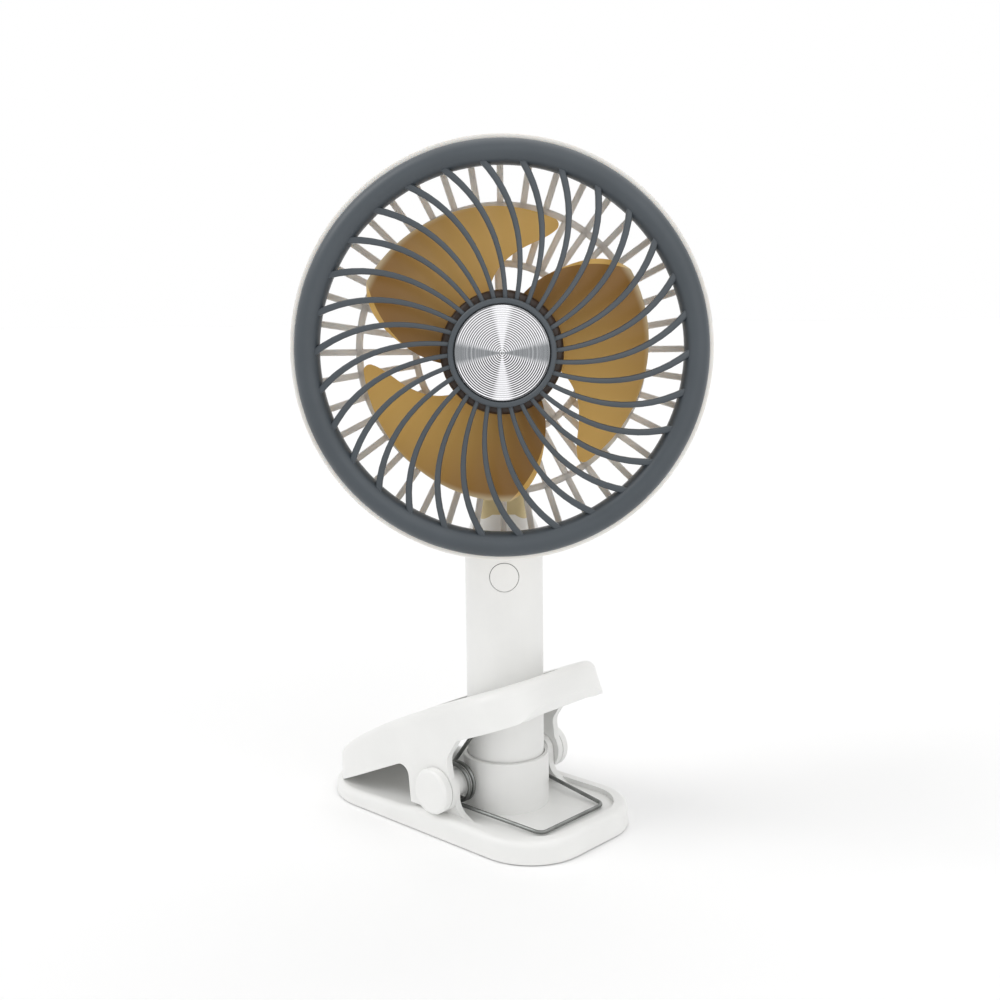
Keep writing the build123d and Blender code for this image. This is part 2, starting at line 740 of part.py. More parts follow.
def fork_foot(grow=0.0):
    """The fork's stem in the dome and the wider foot that the shells lock in."""
    stem = Pos(0, 0, FORK_FOOT - grow) * extrude(fork_section(grow), FAR)
    flange = Pos(0, 0, FORK_FOOT - grow) * extrude(
        fork_section(grow + FORK_FLANGE), FORK_FLANGE_HEIGHT + 2 * grow
    )
    return stem, flange


def handle_body():
    """Both shells as one: bore, seats, openings and the fork's place."""
    low = HANDLE_SHELL_BOTTOM
    body = revolve(Plane.XZ * handle_profile(HANDLE_RADIUS, low, HANDLE_TOP), axis=Axis.Z)
    body -= post(HANDLE_INNER, (low, SHELL_SCREW_Z - SHELL_SCREW_BOSS))
    stem, flange = fork_foot(SEAT_GAP)
    body -= stem
    body -= flange
    body -= barrel(BUTTON_RADIUS + LOOSE, (-FAR, -CELL_NIPPLE), 0, BUTTON_Z)
    body -= barrel(WINDOW_RADIUS + SEAT_GAP, (BOARD_Y, FAR), 0, WINDOW_Z)
    body -= inlet_block(LOOSE, (BOARD_Y, FAR))
    for x in (-SHELL_SCREW_X, SHELL_SCREW_X):
        body -= barrel(SCREW_SHANK + SEAT_GAP, (0, SHELL_SCREW_SEAT + 1), x, SHELL_SCREW_Z)
        body -= barrel(SCREW_HEAD + LOOSE, (SHELL_SCREW_SEAT, FAR), x, SHELL_SCREW_Z)
        body -= barrel(SCREW_SHANK, (SHELL_SCREW_TIP, 0), x, SHELL_SCREW_Z)
    return body


def handle_shells():
    body = handle_body()
    front = body & box((-FAR, FAR), (-FAR, 0), (0, FAR))
    rear = body & box((-FAR, FAR), (0, FAR), (0, FAR))
    return front, rear


def shell_screws():
    screws = []
    for x in (-SHELL_SCREW_X, SHELL_SCREW_X):
        seat = SHELL_SCREW_SEAT
        head = barrel(SCREW_HEAD, (seat, seat + SCREW_HEAD_HEIGHT), x, SHELL_SCREW_Z)
        screws.append(head + barrel(SCREW_SHANK, (SHELL_SCREW_TIP, seat), x, SHELL_SCREW_Z))
    return screws


def handle_end_cap():
    """Spigot with two keys, a flange flush with the handle and a collar inside it."""
    seat = HANDLE_SHELL_BOTTOM - CAP_FLANGE
    cap = post(SPIGOT_RADIUS, (SPIGOT_BOTTOM, seat))
    reach = SPIGOT_RADIUS + KEY_HEIGHT
    keys = box((-reach, reach), (-KEY_WIDTH / 2, KEY_WIDTH / 2), (SPIGOT_BOTTOM, seat - 1))
    cap += keys
    cap += post(HANDLE_RADIUS, (seat, HANDLE_SHELL_BOTTOM))
    cap += post(HANDLE_INNER - SEAT_GAP, (seat, HANDLE_SHELL_BOTTOM + CAP_COLLAR))
    return cap - post(CELL_RADIUS + LOOSE, (CONTACT_SEAT, FAR))


def battery_cell():
    can = post(CELL_RADIUS, (CELL_BOTTOM, CELL_TOP))
    can = fillet(can.edges().filter_by(GeomType.CIRCLE), CELL_ROUND)
    return can + post(CELL_NIPPLE_RADIUS, (CELL_TOP - 1, CELL_TOP + CELL_NIPPLE))


def lower_contact():
    """A plate on the end cap with a springy dome under the cell."""
    plate = post(CELL_RADIUS - 1, (CONTACT_SEAT, CONTACT_SEAT + CONTACT_THICKNESS))
    middle = Pos(0, 0, CONTACT_SEAT + CONTACT_DOME / 2)
    dome = middle * Cone(CONTACT_DOME_FOOT, CONTACT_DOME_TOP, CONTACT_DOME)
    foot = CONTACT_DOME_FOOT - 1.5 * CONTACT_THICKNESS
    top = CONTACT_DOME_TOP - 1.5 * CONTACT_THICKNESS
    hollow = middle * Cone(foot, top, CONTACT_DOME)
    hollow &= post(CELL_RADIUS, (0, CELL_BOTTOM - CONTACT_THICKNESS))
    return plate + dome - hollow


def upper_contact():
    """A plate on the cell's nipple with a tab up to the circuit board."""
    low = CELL_TOP + CELL_NIPPLE
    rear = BOARD_Y + BOARD_THICKNESS
    half = CONTACT_HALF_WIDTH
    plate = box((-half, half), (-half, rear + CONTACT_THICKNESS), (low, low + CONTACT_THICKNESS))
    height = (low, BOARD_BOTTOM + CONTACT_TAB)
    tab = box((-half / 2, half / 2), (rear, rear + CONTACT_THICKNESS), height)
    return plate + tab


def control_board():
    half = BOARD_WIDTH / 2
    board = box((-half, half), (BOARD_Y, BOARD_Y + BOARD_THICKNESS), (BOARD_BOTTOM, BOARD_TOP))
    lamp = barrel(WINDOW_RADIUS, (BOARD_Y, BOARD_Y + LAMP_HEIGHT), 0, WINDOW_Z)
    left = CHIP_EDGE - half
    low = BOARD_BOTTOM + CHIP_EDGE
    depth = (BOARD_Y - CHIP_THICKNESS, BOARD_Y)
    chip = box((left, left + CHIP_WIDTH), depth, (low, low + CHIP_HEIGHT))
    return board + lamp + chip


def button_switch():
    half = SWITCH_SIZE / 2
    front = BOARD_Y - SWITCH_HEIGHT
    body = box((-half, half), (front, BOARD_Y), (BUTTON_Z - half, BUTTON_Z + half))
    return body + barrel(SWITCH_STEM, (front - SWITCH_STEM_HEIGHT, front), 0, BUTTON_Z)


def power_button():
    """A round button whose face follows the handle, with a flange and a post inside."""
    stem_tip = BOARD_Y - SWITCH_HEIGHT - SWITCH_STEM_HEIGHT
    flange_front = -sqrt(HANDLE_INNER**2 - BUTTON_FLANGE**2) + LOOSE
    cap = barrel(BUTTON_RADIUS, (-FAR, flange_front), 0, BUTTON_Z)
    cap &= post(HANDLE_RADIUS + BUTTON_PROUD, (0, FAR))
    cap += barrel(BUTTON_FLANGE, (flange_front, flange_front + 1), 0, BUTTON_Z)
    tip = stem_tip - BUTTON_TRAVEL - LOOSE
    return cap + barrel(SWITCH_STEM, (flange_front, tip), 0, BUTTON_Z)


def inlet_block(grow, y):
    """A rounded slot shape as wide and high as the charging inlet, grown all round."""
    face = Rectangle(INLET_WIDTH + 2 * grow, INLET_HEIGHT + 2 * grow)
    face = fillet(face.vertices(), INLET_HEIGHT / 2 + grow - 0.01)
    return slab(Pos(0, INLET_Z) * face, y)


def charging_inlet():
    front = BOARD_Y + BOARD_THICKNESS
    shell = inlet_block(0, (front, INLET_MOUTH))
    shell -= inlet_block(-INLET_WALL, (INLET_MOUTH - INLET_DEPTH, INLET_MOUTH + 1))
    tongue = (INLET_MOUTH - INLET_DEPTH - OVERLAP, INLET_MOUTH - 1)
    width = (-TONGUE_WIDTH / 2, TONGUE_WIDTH / 2)
    half = TONGUE_THICKNESS / 2
    return shell + box(width, tongue, (INLET_Z - half, INLET_Z + half))


def indicator_window():
    inner = sqrt(HANDLE_INNER**2 - (WINDOW_RADIUS + 1) ** 2)
    pipe = barrel(WINDOW_RADIUS, (BOARD_Y + LAMP_HEIGHT, HANDLE_RADIUS), 0, WINDOW_Z)
    pipe &= post(HANDLE_RADIUS, (0, FAR))
    return pipe + barrel(WINDOW_RADIUS + 1, (inner - 1, inner), 0, WINDOW_Z)


# ---------------------------------------------------------------- tilt joint


def tilt_fork():
    stem, flange = fork_foot()
    fork = (stem & post(FAR, (0, TILT_Z))) + flange
    cheeks = crosswise(FORK_RADIUS, (-FORK_WIDTH / 2, FORK_WIDTH / 2), TILT_Y, TILT_Z)
    fork += cheeks & extrude(Pos(0, 0, FORK_FOOT) * fork_section(), FAR)
    half_gap = FORK_GAP / 2
    floor = TILT_Z - LUG_RADIUS - LUG_CLEARANCE
    fork -= box((-half_gap, half_gap), (-FAR, FAR), (floor, FAR))
    return fork - crosswise(TILT_PIN + RUNNING, (-FAR, FAR), TILT_Y, TILT_Z)


def tilt_pin():
    reach = FORK_WIDTH / 2 - SIDE_GAP
    return crosswise(TILT_PIN, (-reach, reach), TILT_Y, TILT_Z)


def friction_washers():
    """One thin washer each side of the head's lug."""
    washers = []
    for side in (-1, 1):
        x = sorted((side * (LUG_WIDTH / 2 + SEAT_GAP), side * (FORK_GAP / 2 - SEAT_GAP)))
        ring = crosswise(WASHER_RADIUS, x, TILT_Y, TILT_Z)
        washers.append(ring - crosswise(TILT_PIN + RUNNING, (-FAR, FAR), TILT_Y, TILT_Z))
    return washers


# ---------------------------------------------------------------- head


def rim_and_grille():
    """The pale rim with the rear grille's spokes, hoops and struts across it."""
    inner = RIM_RADIUS - RIM_WALL
    front = REAR_FACE - REAR_DEPTH
    frame = inner - FRAME_WIDTH
    profile = polygon(
        (inner, RIM_FRONT),
        (RIM_RADIUS, RIM_FRONT),
        (RIM_RADIUS, REAR_FACE),
        (frame, REAR_FACE),
        (frame, front),
        (inner, front),
    )
    corner = profile.vertices().sort_by_distance((RIM_RADIUS, REAR_FACE))[0]
    body = revolve(fillet(corner, RIM_REAR_ROUND), axis=Axis.Y)
    depth = (front, REAR_FACE)
    half = REAR_SPOKE_WIDTH / 2
    spoke = box((INNER_HOOP, frame + OVERLAP), depth, (-half, half))
    body += [turn * spoke for turn in around_axis(REAR_SPOKES)]
    for radius in (OUTER_HOOP, INNER_HOOP):
        hoop = barrel(radius + HOOP_WIDTH / 2, depth)
        body += hoop - barrel(radius - HOOP_WIDTH / 2, depth)
    half = INNER_STRUT_WIDTH / 2
    strut = box((BOSS_INNER + OVERLAP, INNER_HOOP), depth, (-half, half))
    return body + [turn * strut for turn in around_axis(INNER_STRUTS, INNER_STRUT_TURN)]


def cover_screw_turns():
    return around_axis(COVER_SCREWS, 90)


def rear_housing():
    """Rim, grille, motor seat, spine and the lug of the tilt joint."""
    body = rim_and_grille()
    half = LUG_WIDTH / 2
    lug_z = TILT_Z - HEAD_Z
    front = REAR_FACE - REAR_DEPTH
    spine = box((-half, half), (front, SPINE_REAR), (lug_z, -BOSS_INNER - OVERLAP))
    lug = crosswise(LUG_RADIUS, (-half, half), TILT_Y, lug_z)
    web = box((-half, half), (SPINE_REAR - 1, TILT_Y), (lug_z, lug_z + LUG_RADIUS))
    body += spine
    body += lug + web
    body += barrel(BOSS_OUTER, (BOSS_FRONT, BOSS_REAR))
    body -= barrel(BOSS_INNER, (BOSS_FRONT - 1, BOSS_REAR + 1))
    post_span = (BOSS_REAR - COVER_POST, BOSS_REAR)
    boss_post = barrel(COVER_POST_RADIUS, post_span, COVER_SCREW_CIRCLE, 0)
    body += [turn * boss_post for turn in cover_screw_turns()]
    hole = barrel(SCREW_SHANK, post_span, COVER_SCREW_CIRCLE, 0)
    for turn in cover_screw_turns():
        body -= turn * hole
    return body - crosswise(TILT_PIN + RUNNING, (-FAR, FAR), TILT_Y, lug_z)


def motor_cover():
    rear = BOSS_REAR + COVER_THICKNESS
    cover = barrel(COVER_RADIUS, (BOSS_REAR, rear))
    cover = fillet(cover.edges().group_by(Axis.Y)[-1], COVER_ROUND)
    hole = barrel(SCREW_SHANK + LOOSE, (BOSS_REAR - 1, rear + 1), COVER_SCREW_CIRCLE, 0)
    for turn in cover_screw_turns():
        cover -= turn * hole
    return cover


def cover_screws():
    seat = BOSS_REAR + COVER_THICKNESS
    screw = barrel(SCREW_SHANK, (BOSS_REAR - COVER_POST + OVERLAP, seat), COVER_SCREW_CIRCLE, 0)
    head = barrel(SCREW_HEAD, (seat, seat + SCREW_HEAD_HEIGHT), COVER_SCREW_CIRCLE, 0)
    head = fillet(head.edges().group_by(Axis.Y)[-1], SCREW_HEAD_ROUND)
    return [turn * (screw + head) for turn in cover_screw_turns()]


def polar(radius, angle):
    return (radius * cos(radians(angle)), radius * sin(radians(angle)))


def swept_edge(side):
    """One long edge of a front rib: an arc through three radii."""
    points = []
    middle = (HUB_RING + RING_INNER) / 2
    for radius, sweep_angle, width in (
        (HUB_RING - OVERLAP, 0.0, RIB_WIDTH_IN),
        (middle, RIB_SWEEP_MID, (RIB_WIDTH_IN + RIB_WIDTH_OUT) / 2),
        (RING_INNER + 3 * OVERLAP, RIB_SWEEP_OUT, RIB_WIDTH_OUT),
    ):
        half_angle = side * width / 2 / radius * 180 / pi
        points.append(polar(radius, sweep_angle + half_angle))
    return ThreePointArc(*points)


def front_rib():
    left = swept_edge(1)
    right = swept_edge(-1)
    face = make_face([left, Line(left @ 1, right @ 1), right, Line(right @ 0, left @ 0)])
    return slab(face, (RIB_FRONT_IN - 1, RING_REAR))


def rib_band():
    """The domed layer that the front ribs lie in."""
    inner = HUB_RING - 1
    outer = RING_INNER + 2
    middle = (RIB_FRONT_IN + RIB_FRONT_OUT) / 2 - RIB_DOME
    front = ThreePointArc(
        (inner, RIB_FRONT_IN), ((inner + outer) / 2, middle), (outer, RIB_FRONT_OUT)
    )
    rear = Pos(0, RIB_DEPTH) * front
    face = make_face([front, Line(front @ 1, rear @ 1), rear, Line(rear @ 0, front @ 0)])
    return revolve(face, axis=Axis.Y)


def front_ring():
    """The dark ring, round in front, with a skirt that sits inside the rim."""
    middle = (RING_OUTER + RING_INNER) / 2
    start = RING_FRONT + (RING_OUTER - RING_INNER) / 2
    front = ThreePointArc((RING_OUTER, start), (middle, RING_FRONT), (RING_INNER, start))
    rear = Polyline(front @ 1, (RING_INNER, RING_REAR), (RING_OUTER, RING_REAR), front @ 0)
    ring = revolve(make_face([front, *rear.edges()]), axis=Axis.Y)
    outer = RIM_RADIUS - RIM_WALL - LOOSE
    skirt = barrel(outer, (RING_REAR - OVERLAP, RING_SKIRT_END))
    return ring + (skirt - barrel(outer - RING_SKIRT_WALL, (RING_REAR - 1, RING_SKIRT_END)))


def front_grille():
    rib = front_rib() & rib_band()
    body = front_ring()
    body += [turn * rib for turn in around_axis(FRONT_RIBS, RIB_START_TURN)]
    hub = barrel(HUB_RING, (HUB_FRONT, HUB_REAR))
    hub = fillet(hub.edges().group_by(Axis.Y)[0], HUB_ROUND)
    return body + hub - barrel(BADGE_SEAT, (HUB_FRONT - 1, BADGE_FACE + BADGE_DEPTH))


def hub_badge():
    """A thin spun disc with shallow rings turned into its face."""
    disc = barrel(BADGE_RADIUS, (BADGE_FACE, BADGE_FACE + BADGE_DEPTH))
    pitch = BADGE_RADIUS / (BADGE_GROOVES + 1)
    for k in range(1, BADGE_GROOVES + 1):
        depth = (BADGE_FACE - 1, BADGE_FACE + GROOVE_DEPTH)
        outer = barrel(pitch * k + GROOVE_WIDTH / 2, depth)
        disc -= outer - barrel(pitch * k - GROOVE_WIDTH / 2, depth)
    return disc


def motor_can():
    """A drawn can, open behind, with a nose for the front bush."""
    can = barrel(CAN_RADIUS, (CAN_FRONT, CAN_REAR))
    can += barrel(CAN_NOSE, (CAN_FRONT - CAN_NOSE_LENGTH, CAN_FRONT))
    can -= barrel(CAN_RADIUS - CAN_WALL, (CAN_FRONT + CAN_WALL, CAN_REAR))
    return can - barrel(BUSH_RADIUS, (CAN_FRONT - 2, CAN_REAR))


def motor_end_bell():
    bell = barrel(CAN_RADIUS, (CAN_REAR, CAN_REAR + END_BELL))
    return bell - barrel(BUSH_RADIUS, (CAN_REAR - 1, CAN_REAR + END_BELL + 1))


def shaft_bushes():
    bore = barrel(SHAFT_RADIUS + RUNNING, (-FAR, FAR))
    nose = CAN_FRONT - CAN_NOSE_LENGTH
    front = barrel(BUSH_RADIUS, (nose, nose + BUSH_LENGTH))
    rear_end = CAN_REAR + END_BELL
    rear = barrel(BUSH_RADIUS, (rear_end - BUSH_LENGTH, rear_end))
    return [front - bore, rear - bore]


def motor_shaft():
    return barrel(SHAFT_RADIUS, (SHAFT_FRONT, CAN_REAR + END_BELL))


def motor_rotor():
    low = CAN_FRONT - CAN_NOSE_LENGTH + BUSH_LENGTH + ROTOR_GAP
    high = CAN_REAR + END_BELL - BUSH_LENGTH - ROTOR_GAP
    return barrel(ROTOR_RADIUS, (low, high)) - barrel(SHAFT_RADIUS, (low, high))


def blade_point(share, angle):
    """A point on a blade, a share of the way from the hub to the blade's far corner."""
    return polar(IMPELLER_HUB + share * (BLADE_REACH - IMPELLER_HUB), angle)


def blade_outline():
    """One blade from the front, swept toward lower angles as it goes outward."""
    root = -BLADE_ROOT_SINK / (BLADE_REACH - IMPELLER_HUB)
    leading = Spline(
        blade_point(root, BLADE_ROOT_LEAD),
        blade_point(0.24, 30.0),
        blade_point(0.48, 22.0),
        blade_point(0.74, 14.0),
        blade_point(1.0, BLADE_TIP_LEAD),
    )
    outer = ThreePointArc(leading @ 1, blade_point(0.94, -45.0), blade_point(0.9, BLADE_TIP_TRAIL))
    trailing = Spline(
        outer @ 1,
        blade_point(0.72, -84.0),
        blade_point(0.54, -76.0),
        blade_point(0.32, -63.5),
        blade_point(0.12, -54.0),
        blade_point(root, BLADE_ROOT_TRAIL),
    )
    face = make_face([leading, outer, trailing, Line(trailing @ 1, leading @ 0)])
    corners = face.vertices().sort_by(lambda v: v.center().length)[-2:]
    return fillet(corners, BLADE_CORNER_ROUND)


def blade_sheet():
    """A screw-shaped sheet wider than a blade, as thick as one."""
    rows = []
    middle = (BLADE_TIP_LEAD + BLADE_TIP_TRAIL + BLADE_ROOT_LEAD + BLADE_ROOT_TRAIL) / 4
    for share in (-0.1, 0.3, 0.7, 1.15):
        row = []
        for angle in range(round(BLADE_TIP_TRAIL) - 9, round(BLADE_ROOT_LEAD) + 11, 8):
            x, z = blade_point(share, angle)
            row.append((x, BLADE_MID - BLADE_RISE * (angle - middle), z))
        rows.append(row)
    return Solid.thicken(Face.make_surface_from_array_of_points(rows), BLADE_THICKNESS)


def impeller():
    hub = barrel(IMPELLER_HUB, (IMPELLER_FRONT, IMPELLER_REAR))
    hub = fillet(hub.edges().group_by(Axis.Y)[0], IMPELLER_ROUND)
    inner = IMPELLER_HUB - IMPELLER_WALL
    hub -= barrel(inner, (IMPELLER_FRONT + IMPELLER_WALL, IMPELLER_REAR))
    boss = (IMPELLER_FRONT + OVERLAP, CAN_FRONT - 2 * CAN_NOSE_LENGTH)
    hub += barrel(IMPELLER_BOSS, boss)
    hub -= barrel(SHAFT_RADIUS, (SHAFT_FRONT, FAR))
    blade = slab(blade_outline(), (-FAR, 0)) & blade_sheet()
    return hub + [turn * blade for turn in around_axis(BLADES, BLADE_CORNER_TURN)]


# ---------------------------------------------------------------- all pieces


def clip_pieces():
    return {
        "clip_base": clip_base(),
        "foot_pad": foot_pad(),
        "socket_cup": socket_cup(),
        "socket_screws": socket_screws(),
        "clamp_lever": clamp_lever(),
        "pivot_pins": pivot_pins(),
        "clamp_spring": clamp_spring(),
    }


def handle_pieces():
    front, rear = handle_shells()
    return {
        "swivel_bush": swivel_bush(),
        "handle_front_shell": front,
        "handle_rear_shell": rear,
        "shell_screws": shell_screws(),
        "handle_end_cap": handle_end_cap(),
        "battery_cell": battery_cell(),
        "battery_lower_contact": lower_contact(),
        "battery_upper_contact": upper_contact(),
        "control_board": control_board(),
        "button_switch": button_switch(),
        "power_button": power_button(),
        "charging_inlet": charging_inlet(),
        "indicator_window": indicator_window(),
        "tilt_fork": tilt_fork(),
        "tilt_pin": tilt_pin(),
        "friction_washers": friction_washers(),
    }


def head_pieces():
    return {
        "rear_housing": rear_housing(),
        "front_grille": front_grille(),
        "hub_badge": hub_badge(),
        "motor_cover": motor_cover(),
        "cover_screws": cover_screws(),
        "motor_can": motor_can(),
        "motor_end_bell": motor_end_bell(),
        "shaft_bushes": shaft_bushes(),
        "motor_shaft": motor_shaft(),
        "motor_rotor": motor_rotor(),
        "impeller": impeller(),
    }


def write(name, piece, place):
    solids = piece if isinstance(piece, list) else [piece]
    placed = [solid for part in solids for solid in (place * part).solids()]
    export_step(Compound(placed), f"parts/{name}.step")


def build():
    os.makedirs("parts", exist_ok=True)
    turned = Rot(0, 0, HEAD_TURN)
    for name, piece in clip_pieces().items():
        write(name, piece, Pos(0, 0, 0))
    for name, piece in handle_pieces().items():
        write(name, piece, turned)
    for name, piece in head_pieces().items():
        write(name, piece, turned * Pos(0, 0, HEAD_Z))


build()
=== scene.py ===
"""Clip fan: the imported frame, dressed with modelled pieces, finishes and a small studio."""

import json
import logging
import math
from dataclasses import dataclass
from enum import Enum

import bpy
from mathutils import Matrix, Vector

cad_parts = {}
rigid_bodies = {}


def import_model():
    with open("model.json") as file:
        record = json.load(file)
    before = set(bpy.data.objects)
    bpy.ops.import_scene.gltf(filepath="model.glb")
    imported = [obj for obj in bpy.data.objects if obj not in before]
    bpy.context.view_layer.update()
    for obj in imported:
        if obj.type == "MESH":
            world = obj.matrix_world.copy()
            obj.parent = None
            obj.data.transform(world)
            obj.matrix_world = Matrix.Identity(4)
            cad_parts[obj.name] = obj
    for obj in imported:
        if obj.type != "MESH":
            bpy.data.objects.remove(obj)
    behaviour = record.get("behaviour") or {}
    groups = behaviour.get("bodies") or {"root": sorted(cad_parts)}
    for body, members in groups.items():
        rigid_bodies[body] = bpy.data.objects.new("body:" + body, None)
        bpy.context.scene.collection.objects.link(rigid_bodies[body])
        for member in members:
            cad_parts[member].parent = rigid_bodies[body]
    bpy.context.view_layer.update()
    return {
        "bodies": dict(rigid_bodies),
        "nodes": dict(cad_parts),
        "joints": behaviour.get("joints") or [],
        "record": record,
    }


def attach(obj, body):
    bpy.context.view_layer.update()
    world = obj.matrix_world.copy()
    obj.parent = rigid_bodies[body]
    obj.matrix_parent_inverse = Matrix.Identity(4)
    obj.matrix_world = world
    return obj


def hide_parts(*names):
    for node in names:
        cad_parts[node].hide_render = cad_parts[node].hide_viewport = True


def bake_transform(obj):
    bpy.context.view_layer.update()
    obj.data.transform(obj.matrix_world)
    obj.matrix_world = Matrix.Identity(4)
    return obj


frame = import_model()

log = logging.getLogger("clip_fan")

MM = 0.001

# How far the head is turned about the fan's upright axis, its centre, and the frame they make.
HEAD_TURN = math.radians(43.0)
HEAD_CENTRE = Vector((0.0, 0.0, 0.1691))
HEAD_FRAME = Matrix.Translation(HEAD_CENTRE) @ Matrix.Rotation(HEAD_TURN, 4, "Z")

# Degrees in a radian and in a turn, and how strongly the plastics bend light.
DEGREES = 180 / math.pi
FULL_TURN = 360.0
PLASTIC_IOR = 1.49

Piece = bpy.types.Object
Node = bpy.types.Node
NodeTree = bpy.types.NodeTree
Socket = bpy.types.NodeSocket
Colour = tuple[float, float, float, float]
Span = tuple[float, float]
Triple = tuple[float, float, float]


class Body(Enum):
    """The bodies that modelled pieces ride on."""

    BASE = "base"
    LEVER = "lever"
    HEAD = "head"


def srgb(red: int, green: int, blue: int) -> Colour:
    """Turns a display colour into the linear one that shaders use.

    Args:
        red: Red from 0 to 255.
        green: Green from 0 to 255.
        blue: Blue from 0 to 255.

    Returns:
        The linear colour with an alpha of 1.
    """
    levels = [value / 255 for value in (red, green, blue)]
    linear = [v / 12.92 if v <= 0.04045 else ((v + 0.055) / 1.055) ** 2.4 for v in levels]
    return (linear[0], linear[1], linear[2], 1.0)


def dimmed(colour: Colour, share: float, lift: float = 0.0) -> Colour:
    """Multiplies each channel of a linear colour by a share, then adds a lift to it."""
    red, green, blue = (channel * share + lift for channel in colour[:3])
    return (red, green, blue, 1.0)


# ---------------------------------------------------------------- shader groups


class NodeSheet:
    """A node tree that nodes are added to by type, with their values and links."""

    MIX_INPUTS = (0, 6, 7)
    MIX_RESULT = 2

    def __init__(self, tree: NodeTree) -> None:
        """Keeps the tree that nodes go into."""
        self.tree = tree

    def add(self, kind: str, **settings: object) -> Node:
        """Adds one node.

        Args:
            kind: The node's type, without its ShaderNode prefix.
            **settings: Properties of the node.

        Returns:
            The new node.
        """
        prefix = "" if kind.startswith("NodeGroup") else "ShaderNode"
        node = self.tree.nodes.new(prefix + kind)
        for name, value in settings.items():
            setattr(node, name, value)
        return node

    def feed(self, node: Node, **inputs: object) -> Node:
        """Sets or links inputs, each named with underscores in place of spaces.

        Args:
            node: The node whose inputs are set.
            **inputs: A socket to link, or a value to set.

        Returns:
            The same node.
        """
        for name, value in inputs.items():
            self.put(node.inputs[name.replace("_", " ")], value)
        return node

    def put(self, socket: Socket, value: object) -> None:
        """Links a socket to an input, or sets the input's value."""
        if isinstance(value, Socket):
            self.tree.links.new(value, socket)
        else:
            socket.default_value = value

    def math(self, operation: str, first: object, second: object = 0.0) -> Socket:
        """Adds a Math node.

        Args:
            operation: The node's operation, such as MULTIPLY.
            first: A socket or number.
            second: A socket or number.

        Returns:
            The result's socket.
        """
        node = self.add("Math", operation=operation)
        for socket, value in zip(node.inputs, (first, second)):
            self.put(socket, value)
        return node.outputs[0]

    def mix(self, factor: object, low: object, high: object) -> Socket:
        """Adds a colour Mix node.

        Args:
            factor: A socket or number from 0 to 1.
            low: The colour or socket at 0.
            high: The colour or socket at 1.

        Returns:
            The mixed colour's socket.
        """
        node = self.add("Mix", data_type="RGBA")
        factor_input, low_input, high_input = (node.inputs[index] for index in self.MIX_INPUTS)
        self.put(factor_input, factor)
        self.put(low_input, low)
        self.put(high_input, high)
        return node.outputs[self.MIX_RESULT]

    def noise(self, space: str = "3D", **inputs: object) -> Socket:
        """Adds a Noise Texture node in one to four dimensions and returns its value's socket."""
        return self.feed(self.add("TexNoise", noise_dimensions=space), **inputs).outputs["Fac"]

    def ramp(self, source: Socket, span: tuple[object, object], shape: str = "SMOOTHSTEP") -> Socket:
        """Stretches a range of a value to 0 and 1, and holds it there beyond.

        Args:
            source: The value's socket.
            span: What becomes 0 and what becomes 1, each a socket or number.
            shape: How it runs between them.

        Returns:
            The stretched value's socket.
        """
        node = self.add("MapRange", interpolation_type=shape, clamp=True)
        self.feed(node, Value=source, From_Min=span[0], From_Max=span[1])
        return node.outputs["Result"]

    def bump(self, height: Socket, distance: float, strength: float) -> Socket:
        """Adds a Bump node.

        Args:
            height: The relief, from 0 to 1.
            distance: How deep it goes, in metres.
            strength: How much of it shows.

        Returns:
            The bent normal's socket.
        """
        node = self.add("Bump")
        self.feed(node, Height=height, Distance=distance, Strength=strength)
        return node.outputs["Normal"]


class GroupKind(Enum):
    """The shader groups that several finishes share."""

    MOULDED = "moulded_surface"
    HANDLING = "handling_marks"
    EDGES = "edge_wear"
    HEAD = "place_on_head"


